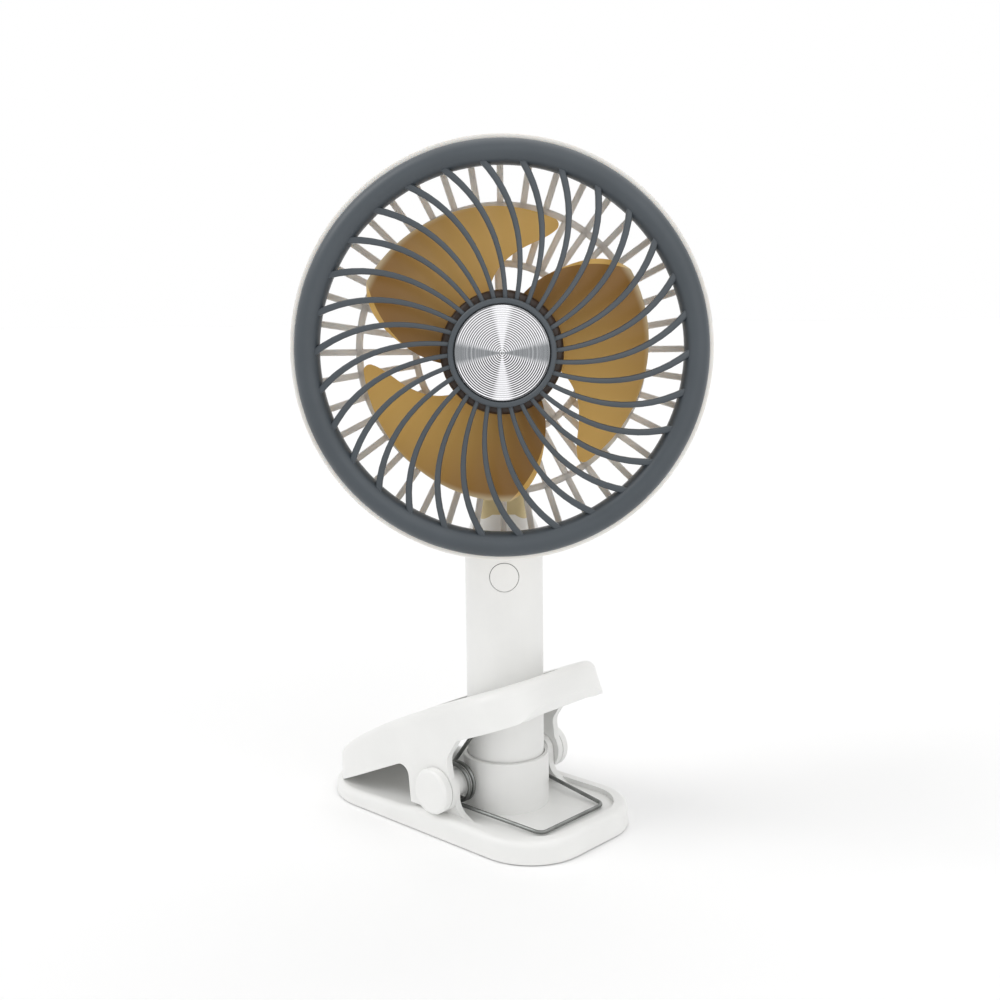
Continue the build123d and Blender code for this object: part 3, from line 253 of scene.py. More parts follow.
class ShaderGroups:
    """Builds each shared shader group once and places it in materials."""

    WAVE_SHARE = 0.6
    GRAIN_SHARE = 0.4
    SMUDGE_SPAN = (0.35, 0.7)
    DUST_PATCH_SPAN = (0.5, 0.75)
    DUST_SPECK_SPAN = (0.03, 0.12)
    FLAT_POINTINESS = 0.5
    POINTINESS_SPAN = 0.08

    def __init__(self) -> None:
        """Starts with no groups built."""
        self.made: dict[GroupKind, NodeTree] = {}

    def place(self, sheet: NodeSheet, kind: GroupKind, **inputs: object) -> Node:
        """Places a group in a material.

        Args:
            sheet: The material's nodes.
            kind: Which group.
            **inputs: Values or sockets for its inputs.

        Returns:
            The group's node.
        """
        if kind not in self.made:
            self.made[kind] = getattr(self, f"build_{kind.name.lower()}")()
        node = sheet.tree.nodes.new("ShaderNodeGroup")
        node.node_tree = self.made[kind]
        return sheet.feed(node, **inputs)

    @staticmethod
    def blank(
        kind: GroupKind, inputs: dict[str, float], outputs: tuple[str, ...]
    ) -> tuple[NodeSheet, Node, Node]:
        """Makes an empty group with its sockets, which all carry numbers.

        Args:
            kind: Which group.
            inputs: Each input's name and its value.
            outputs: Each output's name.

        Returns:
            The group's sheet, its input node and its output node.
        """
        tree = bpy.data.node_groups.new(kind.value, "ShaderNodeTree")
        carried = "NodeSocketFloat"
        for label, value in inputs.items():
            socket = tree.interface.new_socket(label, in_out="INPUT", socket_type=carried)
            socket.default_value = value
        for label in outputs:
            tree.interface.new_socket(label, in_out="OUTPUT", socket_type=carried)
        sheet = NodeSheet(tree)
        return sheet, sheet.add("NodeGroupInput"), sheet.add("NodeGroupOutput")

    def build_moulded(self) -> NodeTree:
        """Builds the fine grain and slow waviness of a moulded surface.

        Returns:
            The group, with a height from 0 to 1.
        """
        scales = {"Grain Scale": 2400.0, "Wave Scale": 60.0}
        sheet, given, out = self.blank(GroupKind.MOULDED, scales, ("Height",))
        place = sheet.add("TexCoord").outputs["Object"]
        grain = sheet.noise(Vector=place, Scale=given.outputs["Grain Scale"], Detail=2.0)
        wave = sheet.noise(Vector=place, Scale=given.outputs["Wave Scale"], Detail=1.0)
        slow = sheet.math("MULTIPLY", wave, self.WAVE_SHARE)
        fine = sheet.math("MULTIPLY", grain, self.GRAIN_SHARE)
        sheet.feed(out, Height=sheet.math("ADD", slow, fine))
        return sheet.tree

    def build_handling(self) -> NodeTree:
        """Builds faint smudges and dust specks.

        Returns:
            The group, with a smudge mask and a dust mask.
        """
        scales = {"Smudge Scale": 45.0, "Dust Scale": 900.0}
        sheet, given, out = self.blank(GroupKind.HANDLING, scales, ("Smudges", "Dust"))
        place = sheet.add("TexCoord").outputs["Object"]
        smudge = sheet.noise(Vector=place, Scale=given.outputs["Smudge Scale"], Detail=5.0)
        dust = sheet.add("TexVoronoi")
        sheet.feed(dust, Vector=place, Scale=given.outputs["Dust Scale"])
        away = sheet.ramp(dust.outputs["Distance"], self.DUST_SPECK_SPAN)
        speck = sheet.math("SUBTRACT", 1.0, away)
        patch = sheet.ramp(smudge, self.DUST_PATCH_SPAN)
        smudges = sheet.ramp(smudge, self.SMUDGE_SPAN)
        sheet.feed(out, Smudges=smudges, Dust=sheet.math("MULTIPLY", speck, patch))
        return sheet.tree

    def build_edges(self) -> NodeTree:
        """Builds the masks of exposed edges, which handling polishes, and of crevices, which get painted
        shade.

        Returns:
            The group, with an edge mask and a crevice mask.
        """
        scales = {"Sharpness": 0.5}
        sheet, given, out = self.blank(GroupKind.EDGES, scales, ("Edges", "Crevices"))
        point = sheet.add("NewGeometry").outputs["Pointiness"]
        flat = self.FLAT_POINTINESS
        width = sheet.math("MULTIPLY", given.outputs["Sharpness"], self.POINTINESS_SPAN)
        for output, operation in (("Edges", "ADD"), ("Crevices", "SUBTRACT")):
            span = (flat, sheet.math(operation, flat, width))
            sheet.feed(out, **{output: sheet.ramp(point, span, "LINEAR")})
        return sheet.tree

    def build_head(self) -> NodeTree:
        """Builds a point's place about the head's axis, or about one that is higher or lower.

        Returns:
            The group, with the radius in metres and the angle in degrees.
        """
        sheet, given, out = self.blank(GroupKind.HEAD, {"Height": 0.0}, ("Radius", "Angle"))
        centred = sheet.add("VectorMath", operation="SUBTRACT")
        sheet.put(centred.inputs[0], sheet.add("TexCoord").outputs["Object"])
        sheet.put(centred.inputs[1], HEAD_CENTRE)
        turned = sheet.add("VectorRotate", rotation_type="Z_AXIS")
        sheet.feed(turned, Vector=centred.outputs["Vector"], Angle=-HEAD_TURN)
        split = sheet.add("SeparateXYZ")
        sheet.feed(split, Vector=turned.outputs["Vector"])
        across = split.outputs["X"]
        high = sheet.math("SUBTRACT", split.outputs["Z"], given.outputs["Height"])
        square = sheet.math("ADD", sheet.math("POWER", across, 2.0), sheet.math("POWER", high, 2.0))
        angle = sheet.math("MULTIPLY", sheet.math("ARCTAN2", high, across), DEGREES)
        sheet.feed(out, Radius=sheet.math("SQRT", square), Angle=angle)
        return sheet.tree


# ---------------------------------------------------------------- finishes


@dataclass(frozen=True)
class Coat:
    """A material in the making: its nodes, its Principled BSDF and the shared groups."""

    sheet: NodeSheet
    shader: Node
    groups: ShaderGroups

    def place(self, kind: GroupKind, **inputs: object) -> Node:
        """Places a shared group among the material's nodes."""
        return self.groups.place(self.sheet, kind, **inputs)

    def feed(self, **inputs: object) -> None:
        """Sets or links the shader's inputs."""
        self.sheet.feed(self.shader, **inputs)


@dataclass(frozen=True)
class Finish:
    """What every finish has: a name, a main colour and its roughness."""

    name: str
    colour: Colour
    roughness: float

    def build(self, groups: ShaderGroups) -> bpy.types.Material:
        """Builds the material.

        Args:
            groups: The shared shader groups.

        Returns:
            The finished material.
        """
        material = bpy.data.materials.new(self.name)
        material.use_nodes = True
        material.diffuse_color = self.colour
        tree = material.node_tree
        self.dress(Coat(NodeSheet(tree), tree.nodes["Principled BSDF"], groups))
        return material

    def dress(self, coat: Coat) -> None:
        """Sets the shader's colour and roughness."""
        coat.feed(Base_Color=self.colour, Roughness=self.roughness)


@dataclass(frozen=True)
class MouldedPlastic(Finish):
    """Injection-moulded plastic with a fine spark grain, worn edges, faint smudges and painted shade in its
    crevices.
    """

    polish: float = -0.08
    smear: float = 0.08
    grain: float = 2400.0
    relief: float = 0.00003
    relief_share: float = 0.6
    shade: float = 0.94
    seam: float = 0.5
    dust: float = 0.15
    dust_mix: Span = (0.7, 0.25)
    glow: float = 0.0
    glow_depth: float = 0.003
    glow_tint: Triple = (1.0, 0.84, 0.74)

    def dress(self, coat: Coat) -> None:
        """Gives the plastic its grain, worn edges, smudges, dust, glow and painted crevice shade."""
        sheet = coat.sheet
        surface = coat.place(GroupKind.MOULDED, Grain_Scale=self.grain)
        marks = coat.place(GroupKind.HANDLING)
        edges = coat.place(GroupKind.EDGES)
        darker = dimmed(self.colour, self.shade)
        pale = dimmed(self.colour, *self.dust_mix)
        smudges = marks.outputs["Smudges"]
        # Painted shade: crevices are darkened toward the darker colour.
        crevice_shading = sheet.math("MULTIPLY", edges.outputs["Crevices"], self.seam)
        dust = sheet.math("MULTIPLY", marks.outputs["Dust"], self.dust)
        crevice_shaded = sheet.mix(crevice_shading, sheet.mix(smudges, self.colour, darker), darker)
        worn = sheet.math("MULTIPLY", edges.outputs["Edges"], self.polish)
        smeared = sheet.math("MULTIPLY", smudges, self.smear)
        rough = sheet.math("ADD", sheet.math("ADD", worn, smeared), self.roughness)
        normal = sheet.bump(surface.outputs["Height"], self.relief, self.relief_share)
        coat.feed(Base_Color=sheet.mix(dust, crevice_shaded, pale), Roughness=rough, Normal=normal)
        coat.feed(IOR=PLASTIC_IOR, Subsurface_Weight=self.glow)
        coat.feed(Subsurface_Scale=self.glow_depth, Subsurface_Radius=self.glow_tint)


@dataclass(frozen=True)
class ButtonPlastic(MouldedPlastic):
    """Moulded plastic whose side wall, down in the gap round the button, carries a painted shade."""

    height: float = 0.0916
    wall: float = 0.00492
    blend: float = 0.00006
    soil: Colour = (0.02, 0.02, 0.02, 1.0)

    def dress(self, coat: Coat) -> None:
        """Paints shade on the wall of the button that shows in the gap."""
        super().dress(coat)
        place = coat.place(GroupKind.HEAD, Height=self.height - HEAD_CENTRE.z)
        # Painted shade: near-black on the button's side wall, where the gap round it lies in shadow.
        gap_shade_mask = coat.sheet.ramp(place.outputs["Radius"], (self.wall, self.wall + self.blend))
        unshaded = coat.shader.inputs["Base Color"].links[0].from_socket
        coat.feed(Base_Color=coat.sheet.mix(gap_shade_mask, unshaded, self.soil))


@dataclass(frozen=True)
class TintedBlade(Finish):
    """Amber blade plastic with painted shade along the leading edge, a painted highlight toward the tip and
    painted shade on the hub.
    """

    # Painted light: a shade colour for the leading edge, a highlight colour for the tip and a dark shade
    # colour for the hub.
    deep: Colour
    tip: Colour
    hub: Colour
    hub_radius: float = 0.01975
    hub_blend: float = 0.01
    reach: float = 0.0484
    blades: int = 3
    corner_turn: float = 31.0
    root_lead: float = 39.5
    sweep: float = 38.5
    span: float = 92.0
    tip_span: Span = (0.9, 1.0)
    tip_share: float = 0.75
    smear: float = 0.1
    smudge_scale: float = 70.0
    grain: float = 1800.0
    relief: float = 0.00002
    relief_share: float = 0.5
    dust: float = 0.12
    dust_mix: Span = (0.6, 0.3)

    def dress(self, coat: Coat) -> None:
        """Paints shade across each blade from its leading edge, a highlight toward its tip and shade on the
        hub.
        """
        sheet = coat.sheet
        place = coat.place(GroupKind.HEAD)
        radius = place.outputs["Radius"]
        outward = sheet.ramp(radius, (self.hub_radius, self.reach), "LINEAR")
        swept = sheet.math("ADD", place.outputs["Angle"], sheet.math("MULTIPLY", outward, self.sweep))
        behind = sheet.math("SUBTRACT", self.corner_turn + self.root_lead + FULL_TURN, swept)
        across = sheet.ramp(sheet.math("MODULO", behind, FULL_TURN / self.blades), (0.0, self.span))
        surface = coat.place(GroupKind.MOULDED, Grain_Scale=self.grain)
        marks = coat.place(GroupKind.HANDLING, Smudge_Scale=self.smudge_scale)
        # Painted highlight toward the tip, laid over painted shade along the leading edge.
        tip_highlight = sheet.math("MULTIPLY", sheet.ramp(outward, self.tip_span), self.tip_share)
        blade_shade_and_highlight = sheet.mix(tip_highlight, sheet.mix(across, self.deep, self.colour), self.tip)
        # Painted shade on the hub, which sits in shadow behind the grille's hub.
        hub_shade_span = (self.hub_radius * (1 + self.hub_blend), self.hub_radius * (1 - self.hub_blend))
        shaded = sheet.mix(sheet.ramp(radius, hub_shade_span), blade_shade_and_highlight, self.hub)
        dust = sheet.math("MULTIPLY", marks.outputs["Dust"], self.dust)
        dusty = sheet.mix(dust, shaded, dimmed(self.colour, *self.dust_mix))
        smeared = sheet.math("MULTIPLY", marks.outputs["Smudges"], self.smear)
        rough = sheet.math("ADD", smeared, self.roughness)
        normal = sheet.bump(surface.outputs["Height"], self.relief, self.relief_share)
        coat.feed(Base_Color=dusty, Roughness=rough, Normal=normal, IOR=PLASTIC_IOR)


@dataclass(frozen=True)
class Metal(Finish):
    """Bare metal, drawn, turned or plated."""

    smear: float = 0.12
    smudge_scale: float = 160.0
    shade: float = 0.72
    streak: float = 900.0
    relief: float = 0.00001
    relief_share: float = 0.5

    def dress(self, coat: Coat) -> None:
        """Gives the metal its tool marks and tarnish."""
        sheet = coat.sheet
        surface = coat.place(GroupKind.MOULDED, Grain_Scale=self.streak)
        marks = coat.place(GroupKind.HANDLING, Smudge_Scale=self.smudge_scale)
        smudges = marks.outputs["Smudges"]
        body = sheet.mix(smudges, self.colour, dimmed(self.colour, self.shade))
        rough = sheet.math("ADD", sheet.math("MULTIPLY", smudges, self.smear), self.roughness)
        normal = sheet.bump(surface.outputs["Height"], self.relief, self.relief_share)
        coat.feed(Base_Color=body, Roughness=rough, Metallic=1.0, Normal=normal)


@dataclass(frozen=True)
class SpunMetal(Metal):
    """Metal turned on a lathe, with a painted reflection of its rings: dark ring lines, deepest in the
    lower half, and grey wedges at the sides.
    """

    smear: float = 0.06
    relief_share: float = 0.8
    shadow: Colour = (0.012, 0.012, 0.014, 1.0)
    wedge: Colour = (0.21, 0.22, 0.23, 1.0)
    pitch: float = 0.00068
    valley_span: Span = (0.5, -0.5)
    ring_depth: float = 0.84
    low_depth: float = 0.14
    low_span: Span = (0.15, -0.3)
    side_span: Span = (0.36, 0.12)
    upright_span: Span = (0.3, 0.1)
    calm_share: float = 0.7
    uneven_scale: float = 1500.0
    wedge_floor: float = 0.45

    def dress(self, coat: Coat) -> None:
        """Paints the reflection: darkens the rings' valleys, most in the lower half, and greys the two side
        wedges.
        """
        sheet = coat.sheet
        place = coat.place(GroupKind.HEAD)
        marks = coat.place(GroupKind.HANDLING, Smudge_Scale=self.smudge_scale)
        radius = place.outputs["Radius"]
        turn = sheet.math("MULTIPLY", place.outputs["Angle"], 1 / DEGREES)
        high, across = sheet.math("SINE", turn), sheet.math("COSINE", turn)
        dark_lower_reflection = sheet.ramp(high, self.low_span)
        side_reflection_wedge = sheet.ramp(sheet.math("ABSOLUTE", high), self.side_span)
        upright_reflection_wedge = sheet.ramp(sheet.math("ABSOLUTE", across), self.upright_span)
        wave = sheet.math("COSINE", sheet.math("MULTIPLY", radius, math.tau / self.pitch))
        calm = sheet.math("MAXIMUM", side_reflection_wedge, upright_reflection_wedge)
        plain = sheet.math("SUBTRACT", 1.0, sheet.math("MULTIPLY", calm, self.calm_share))
        depth = sheet.math("ADD", self.ring_depth, sheet.math("MULTIPLY", dark_lower_reflection, self.low_depth))
        depth = sheet.math("MULTIPLY", depth, plain)
        # Painted reflection: dark ring lines, strongest in the lower half and calmer in the side and
        # upright wedges.
        dark = sheet.math("MULTIPLY", sheet.ramp(wave, self.valley_span), depth)
        ringed = sheet.mix(dark, self.colour, self.shadow)
        height = sheet.noise("1D", W=radius, Scale=self.uneven_scale, Detail=3.0)
        # Painted reflection: grey wedges at the two sides.
        grey = sheet.math("MULTIPLY", side_reflection_wedge, sheet.math("ADD", self.wedge_floor, height))
        smeared = sheet.math("MULTIPLY", marks.outputs["Smudges"], self.smear)
        rough = sheet.math("ADD", smeared, self.roughness)
        normal = sheet.bump(height, self.relief, self.relief_share)
        body = sheet.mix(grey, ringed, self.wedge)
        coat.feed(Base_Color=body, Roughness=rough, Metallic=1.0, Normal=normal)


class Palette:
    """Every finish on the fan, and the nodes that wear it."""

    WHITE = MouldedPlastic("white_shell", srgb(242, 242, 240), roughness=0.38, shade=0.965)
    BUTTON = ButtonPlastic("white_button", srgb(242, 242, 240), roughness=0.38, shade=0.965)
    CREAM = MouldedPlastic("cream_cage", srgb(250, 245, 238), roughness=0.42, glow=0.35)
    # Painted warm shade: the fork's tan stands for the warm shade that falls on it behind the head.
    SAND = MouldedPlastic("warm_shade_fork", srgb(226, 209, 161), roughness=0.4)
    GREY = MouldedPlastic("slate_grille", srgb(70, 77, 83), roughness=0.42, shade=0.9)
    ACETAL = MouldedPlastic("acetal", srgb(228, 227, 220), roughness=0.3)
    PAD = MouldedPlastic("soft_foot", srgb(214, 214, 212), roughness=0.75, grain=1200.0)
    BLACK = MouldedPlastic("black_phenolic", srgb(34, 34, 36), roughness=0.5)
    BOARD = MouldedPlastic("solder_mask", srgb(24, 92, 52), roughness=0.3)
    WINDOW = MouldedPlastic("milky_window", srgb(240, 244, 242), roughness=0.2)
    SLEEVE = MouldedPlastic("cell_sleeve", srgb(70, 120, 170), roughness=0.35)
    # The blade's three other colours are painted light: shade along the leading edge, a highlight at the
    # tip and the shade on the hub.
    AMBER = TintedBlade(
        "amber_blade",
        srgb(230, 184, 98),
        roughness=0.34,
        deep=srgb(150, 106, 42),
        tip=srgb(232, 216, 178),
        hub=srgb(66, 46, 32),
    )
    SPRING = Metal("spring_wire", srgb(138, 140, 138), roughness=0.32)
    PLATED = Metal("zinc_plate", srgb(196, 196, 194), roughness=0.28)
    NICKEL = Metal("nickel_strip", srgb(200, 196, 186), roughness=0.3)
    BRONZE = Metal("sintered_bronze", srgb(176, 140, 86), roughness=0.5)
    ROTOR = Metal("rotor_steel", srgb(120, 112, 106), roughness=0.45)
    SPUN = SpunMetal("spun_badge", srgb(240, 240, 243), roughness=0.24)

    WORN_BY = {
        "clip_base": WHITE, "clamp_lever": WHITE, "socket_cup": WHITE, "pivot_pins": WHITE,
        "handle_front_shell": WHITE, "handle_rear_shell": WHITE, "handle_end_cap": WHITE,
        "power_button": BUTTON, "tilt_fork": SAND, "foot_pad": PAD, "swivel_bush": ACETAL,
        "friction_washers": ACETAL, "rear_housing": CREAM, "motor_cover": CREAM,
        "front_grille": GREY, "hub_badge": SPUN, "impeller": AMBER, "clamp_spring": SPRING,
        "socket_screws": PLATED, "shell_screws": PLATED, "cover_screws": PLATED,
        "tilt_pin": PLATED, "charging_inlet": PLATED, "motor_can": PLATED, "motor_shaft": PLATED,
        "battery_lower_contact": NICKEL, "battery_upper_contact": NICKEL,
        "battery_cell": SLEEVE, "control_board": BOARD, "button_switch": BLACK,
        "motor_end_bell": BLACK, "indicator_window": WINDOW, "shaft_bushes": BRONZE,
        "motor_rotor": ROTOR,
    }

    def __init__(self) -> None:
        """Starts with no material built."""
        self.groups = ShaderGroups()
        self.built: dict[str, bpy.types.Material] = {}

    def material(self, finish: Finish) -> bpy.types.Material:
        """Returns a finish's material, building it the first time."""
        if finish.name not in self.built:
            self.built[finish.name] = finish.build(self.groups)
        return self.built[finish.name]

    def paint(self, piece: Piece, finish: Finish) -> None:
        """Puts one finish on a whole piece.

        Args:
            piece: The object to paint.
            finish: Its finish.
        """
        if not piece.material_slots:
            piece.data.materials.append(None)
        for slot in piece.material_slots:
            slot.material = self.material(finish)

    def paint_frame(self) -> None:
        """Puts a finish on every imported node."""
        for name, finish in self.WORN_BY.items():
            self.paint(frame["nodes"][name], finish)
            log.info("packed node %s wears %s", name, finish.name)


# ---------------------------------------------------------------- modelling


def ring_point(radius: float, degrees: float, depth: float = 0.0) -> Vector:
    """Returns a point about the head's axis, turned anticlockwise as seen from its front.

    Args:
        radius: Distance from the axis in millimetres.
        degrees: Angle from the right-hand side.
        depth: Place along the axis, with the front at lower values.

    Returns:
        The point in metres.
    """
    turn = math.radians(degrees)
    return Vector((radius * math.cos(turn), depth, radius * math.sin(turn))) * MM


def arc_points(centre: Span, radius: float, start: float, end: float, steps: int) -> list[Span]:
    """Returns points along an arc of a lathe profile.

    Args:
        centre: The arc's centre as distance from the axis and depth.
        radius: The arc's radius.
        start: The first angle in degrees.
        end: The last angle in degrees.
        steps: How many stretches it has.

    Returns:
        Pairs of distance from the axis and depth, in millimetres.
    """
    turns = [math.radians(start + (end - start) * k / steps) for k in range(steps + 1)]
    return [(centre[0] + radius * math.cos(t), centre[1] + radius * math.sin(t)) for t in turns]


class Bench:
    """Modelling steps, each done with Blender's own operators.

    Attributes:
        SEED: The side of the plane that is merged into a chain's first point, in metres.
        WELD: How near two points are merged, in metres.
        SMOOTH: The greatest angle that is shaded as a smooth edge, in degrees.
        SHARP: The least angle between two faces that gets rounded, in degrees.
    """

    SEED = 0.01
    WELD = 0.000002
    SMOOTH = 35.0
    SHARP = 40.0

    @staticmethod
    def draw(name: str, points: list[Vector]) -> Piece:
        """Draws a chain of edges by extruding one vertex, and stays in edit mode.

        Args:
            name: The new object's name.
            points: The chain's points, in metres.

        Returns:
            The new object.
        """
        bpy.ops.mesh.primitive_plane_add(size=Bench.SEED)
        piece = bpy.context.object
        piece.name = name
        bpy.ops.object.mode_set(mode="EDIT")
        bpy.ops.mesh.select_all(action="SELECT")
        bpy.ops.mesh.merge(type="CENTER")
        bpy.ops.transform.translate(value=points[0])
        for before, after in zip(points, points[1:]):
            bpy.ops.mesh.extrude_vertices_move(TRANSFORM_OT_translate={"value": after - before})
        return piece

    @staticmethod
    def apply() -> None:
        """Moves the picked piece's place, turn and scale into its mesh."""
        bpy.ops.object.transform_apply(location=True, rotation=True, scale=True)

    @staticmethod
    def weld() -> None:
        """Merges doubled points of the piece in edit mode and faces all its sides outward."""
        bpy.ops.mesh.select_all(action="SELECT")
        bpy.ops.mesh.remove_doubles(threshold=Bench.WELD)
        bpy.ops.mesh.normals_make_consistent(inside=False)

    @staticmethod
    def lathe(name: str, profile: list[Span], steps: int, edge: float = 0.0, closed: bool = True) -> Piece:
        """Turns a profile about the head's axis.

        Args:
            name: The new object's name.
            profile: Pairs of distance from the axis and depth, in millimetres.
            steps: How many sides the turned piece has.
            edge: How wide its sharp edges are rounded, in millimetres.
            closed: Whether the profile ends where it starts.

        Returns:
            The turned piece, in object mode.
        """
        ends = profile + profile[:1] if closed else profile
        piece = Bench.draw(name, [ring_point(radius, 0.0, depth) for radius, depth in ends])
        bpy.ops.mesh.select_all(action="SELECT")
        bpy.ops.mesh.remove_doubles(threshold=Bench.WELD)
        bpy.ops.mesh.spin(steps=steps, angle=math.tau, center=(0, 0, 0), axis=(0, 1, 0))
        Bench.weld()
        bpy.ops.object.mode_set(mode="OBJECT")
        if edge:
            Bench.soften(piece, edge)
        return piece

    @staticmethod
    def block(name: str, *spans: Span) -> Piece:
        """Makes a block between two values on each axis.

        Args:
            name: The new object's name.
            *spans: Its spans along X, Y and Z, in millimetres.

        Returns:
            The block, in object mode.
        """
        bpy.ops.mesh.primitive_cube_add(size=1.0)
        piece = bpy.context.object
        piece.name = name
        piece.scale = [(high - low) * MM for low, high in spans]
        piece.location = [(high + low) / 2 * MM for low, high in spans]
        Bench.apply()
        return piece

    @staticmethod
    def bar(name: str, radius: float, ends: tuple[Vector, Vector], sides: int) -> Piece:
        """Makes a round bar between two points.

        Args:
            name: The new object's name.
            radius: The bar's radius in millimetres.
            ends: The centres of its ends, in metres.
            sides: How many sides it has.

        Returns:
            The bar, in object mode.
        """
        along = ends[1] - ends[0]
        bpy.ops.mesh.primitive_cylinder_add(
            vertices=sides,
            radius=radius * MM,
            depth=along.length,
            location=(ends[0] + ends[1]) / 2,
            rotation=along.to_track_quat("Z", "Y").to_euler(),
        )
        piece = bpy.context.object
        piece.name = name
        Bench.apply()
        return piece

    @staticmethod
    def soften(piece: Piece, width: float, segments: int = 2) -> None:
        """Rounds a piece's sharp edges.

        Args:
            piece: The piece.
            width: How wide the rounding is, in millimetres.
            segments: How many faces it has across.
        """
        Bench.pick(piece)
        bevel = piece.modifiers.new("edges", "BEVEL")
        bevel.width = width * MM
        bevel.segments = segments
        bevel.limit_method = "ANGLE"
        bevel.angle_limit = math.radians(Bench.SHARP)
        bpy.ops.object.modifier_apply(modifier=bevel.name)

    @staticmethod
    def pick(piece: Piece) -> None:
        """Selects one piece alone."""
        bpy.ops.object.select_all(action="DESELECT")
        piece.select_set(True)
        bpy.context.view_layer.objects.active = piece

    @staticmethod
    def around(piece: Piece, count: int, start: float = 0.0) -> None:
        """Repeats a piece about the head's axis, in the same mesh.

        Args:
            piece: The piece, drawn at angle 0.
            count: How many there are in all.
            start: The first one's angle in degrees.
        """
        Bench.pick(piece)
        piece.rotation_euler = (0.0, -math.radians(start), 0.0)
        Bench.apply()
        bpy.ops.object.mode_set(mode="EDIT")
        bpy.ops.mesh.select_all(action="SELECT")
        span = math.tau * (count - 1) / count
        bpy.ops.mesh.spin(steps=count - 1, dupli=True, angle=span, center=(0, 0, 0), axis=(0, 1, 0))
        bpy.ops.mesh.select_all(action="SELECT")
        bpy.ops.mesh.normals_make_consistent(inside=False)
        bpy.ops.object.mode_set(mode="OBJECT")

    @staticmethod
    def join(pieces: list[Piece]) -> Piece:
        """Joins pieces into the first one's mesh.

        Args:
            pieces: The pieces, all in object mode.

        Returns:
            The joined piece.
        """
        Bench.pick(pieces[0])
        for piece in pieces:
            piece.select_set(True)
        bpy.ops.object.join()
        return pieces[0]

    @staticmethod
    def settle(piece: Piece, smooth: float = SMOOTH) -> None:
        """Moves a piece from the head's frame to the row frame, inside its mesh.

        Args:
            piece: The piece.
            smooth: The greatest angle that is shaded as a smooth edge, in degrees.
        """
        Bench.pick(piece)
        piece.matrix_world = HEAD_FRAME
        Bench.apply()
        bpy.ops.object.shade_smooth_by_angle(angle=math.radians(smooth))


@dataclass
class SubAssembly:
    """A part of the fan whose pieces are modelled here, with the palette that dresses it."""

    palette: Palette

    def finish(self, piece: Piece, finish: Finish, body: Body, slot: str, nodes: tuple[str, ...]) -> None:
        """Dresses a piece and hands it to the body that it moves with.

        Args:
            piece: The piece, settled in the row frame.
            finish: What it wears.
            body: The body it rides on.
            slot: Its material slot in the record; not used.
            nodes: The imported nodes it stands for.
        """
        self.palette.paint(piece, finish)
        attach(piece, body.value)
        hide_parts(*nodes)
        log.info("modelled %s with %d faces", piece.name, len(piece.data.polygons))


@dataclass
class ClampSpring(SubAssembly):
    """The double torsion spring, whose coils wind up as the lever is squeezed."""

    pivot: Triple = (-5.8, 0.0, 17.1)
    lean: float = 30.0
    fixed_below: float = -5.6
    moved_above: float = 6.3

    def build(self) -> None:
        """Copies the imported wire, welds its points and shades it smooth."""
        Bench.pick(frame["nodes"]["clamp_spring"])
        bpy.ops.object.duplicate()
        wire = bpy.context.object
        wire.name = "steel_clamp_spring"
        bpy.ops.object.parent_clear(type="CLEAR_KEEP_TRANSFORM")
        bpy.ops.object.mode_set(mode="EDIT")
        Bench.weld()
        bpy.ops.object.mode_set(mode="OBJECT")
        bpy.ops.object.shade_smooth_by_angle(angle=math.radians(Bench.SMOOTH))
        self.dress(wire)

    def dress(self, wire: Piece) -> None:
        """Gives the wire its finish, moves its place into its mesh and hides the imported node."""
        self.palette.paint(wire, Palette.SPRING)
        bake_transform(wire)
        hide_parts("clamp_spring")
        log.info("bent %s between base and lever", wire.name)


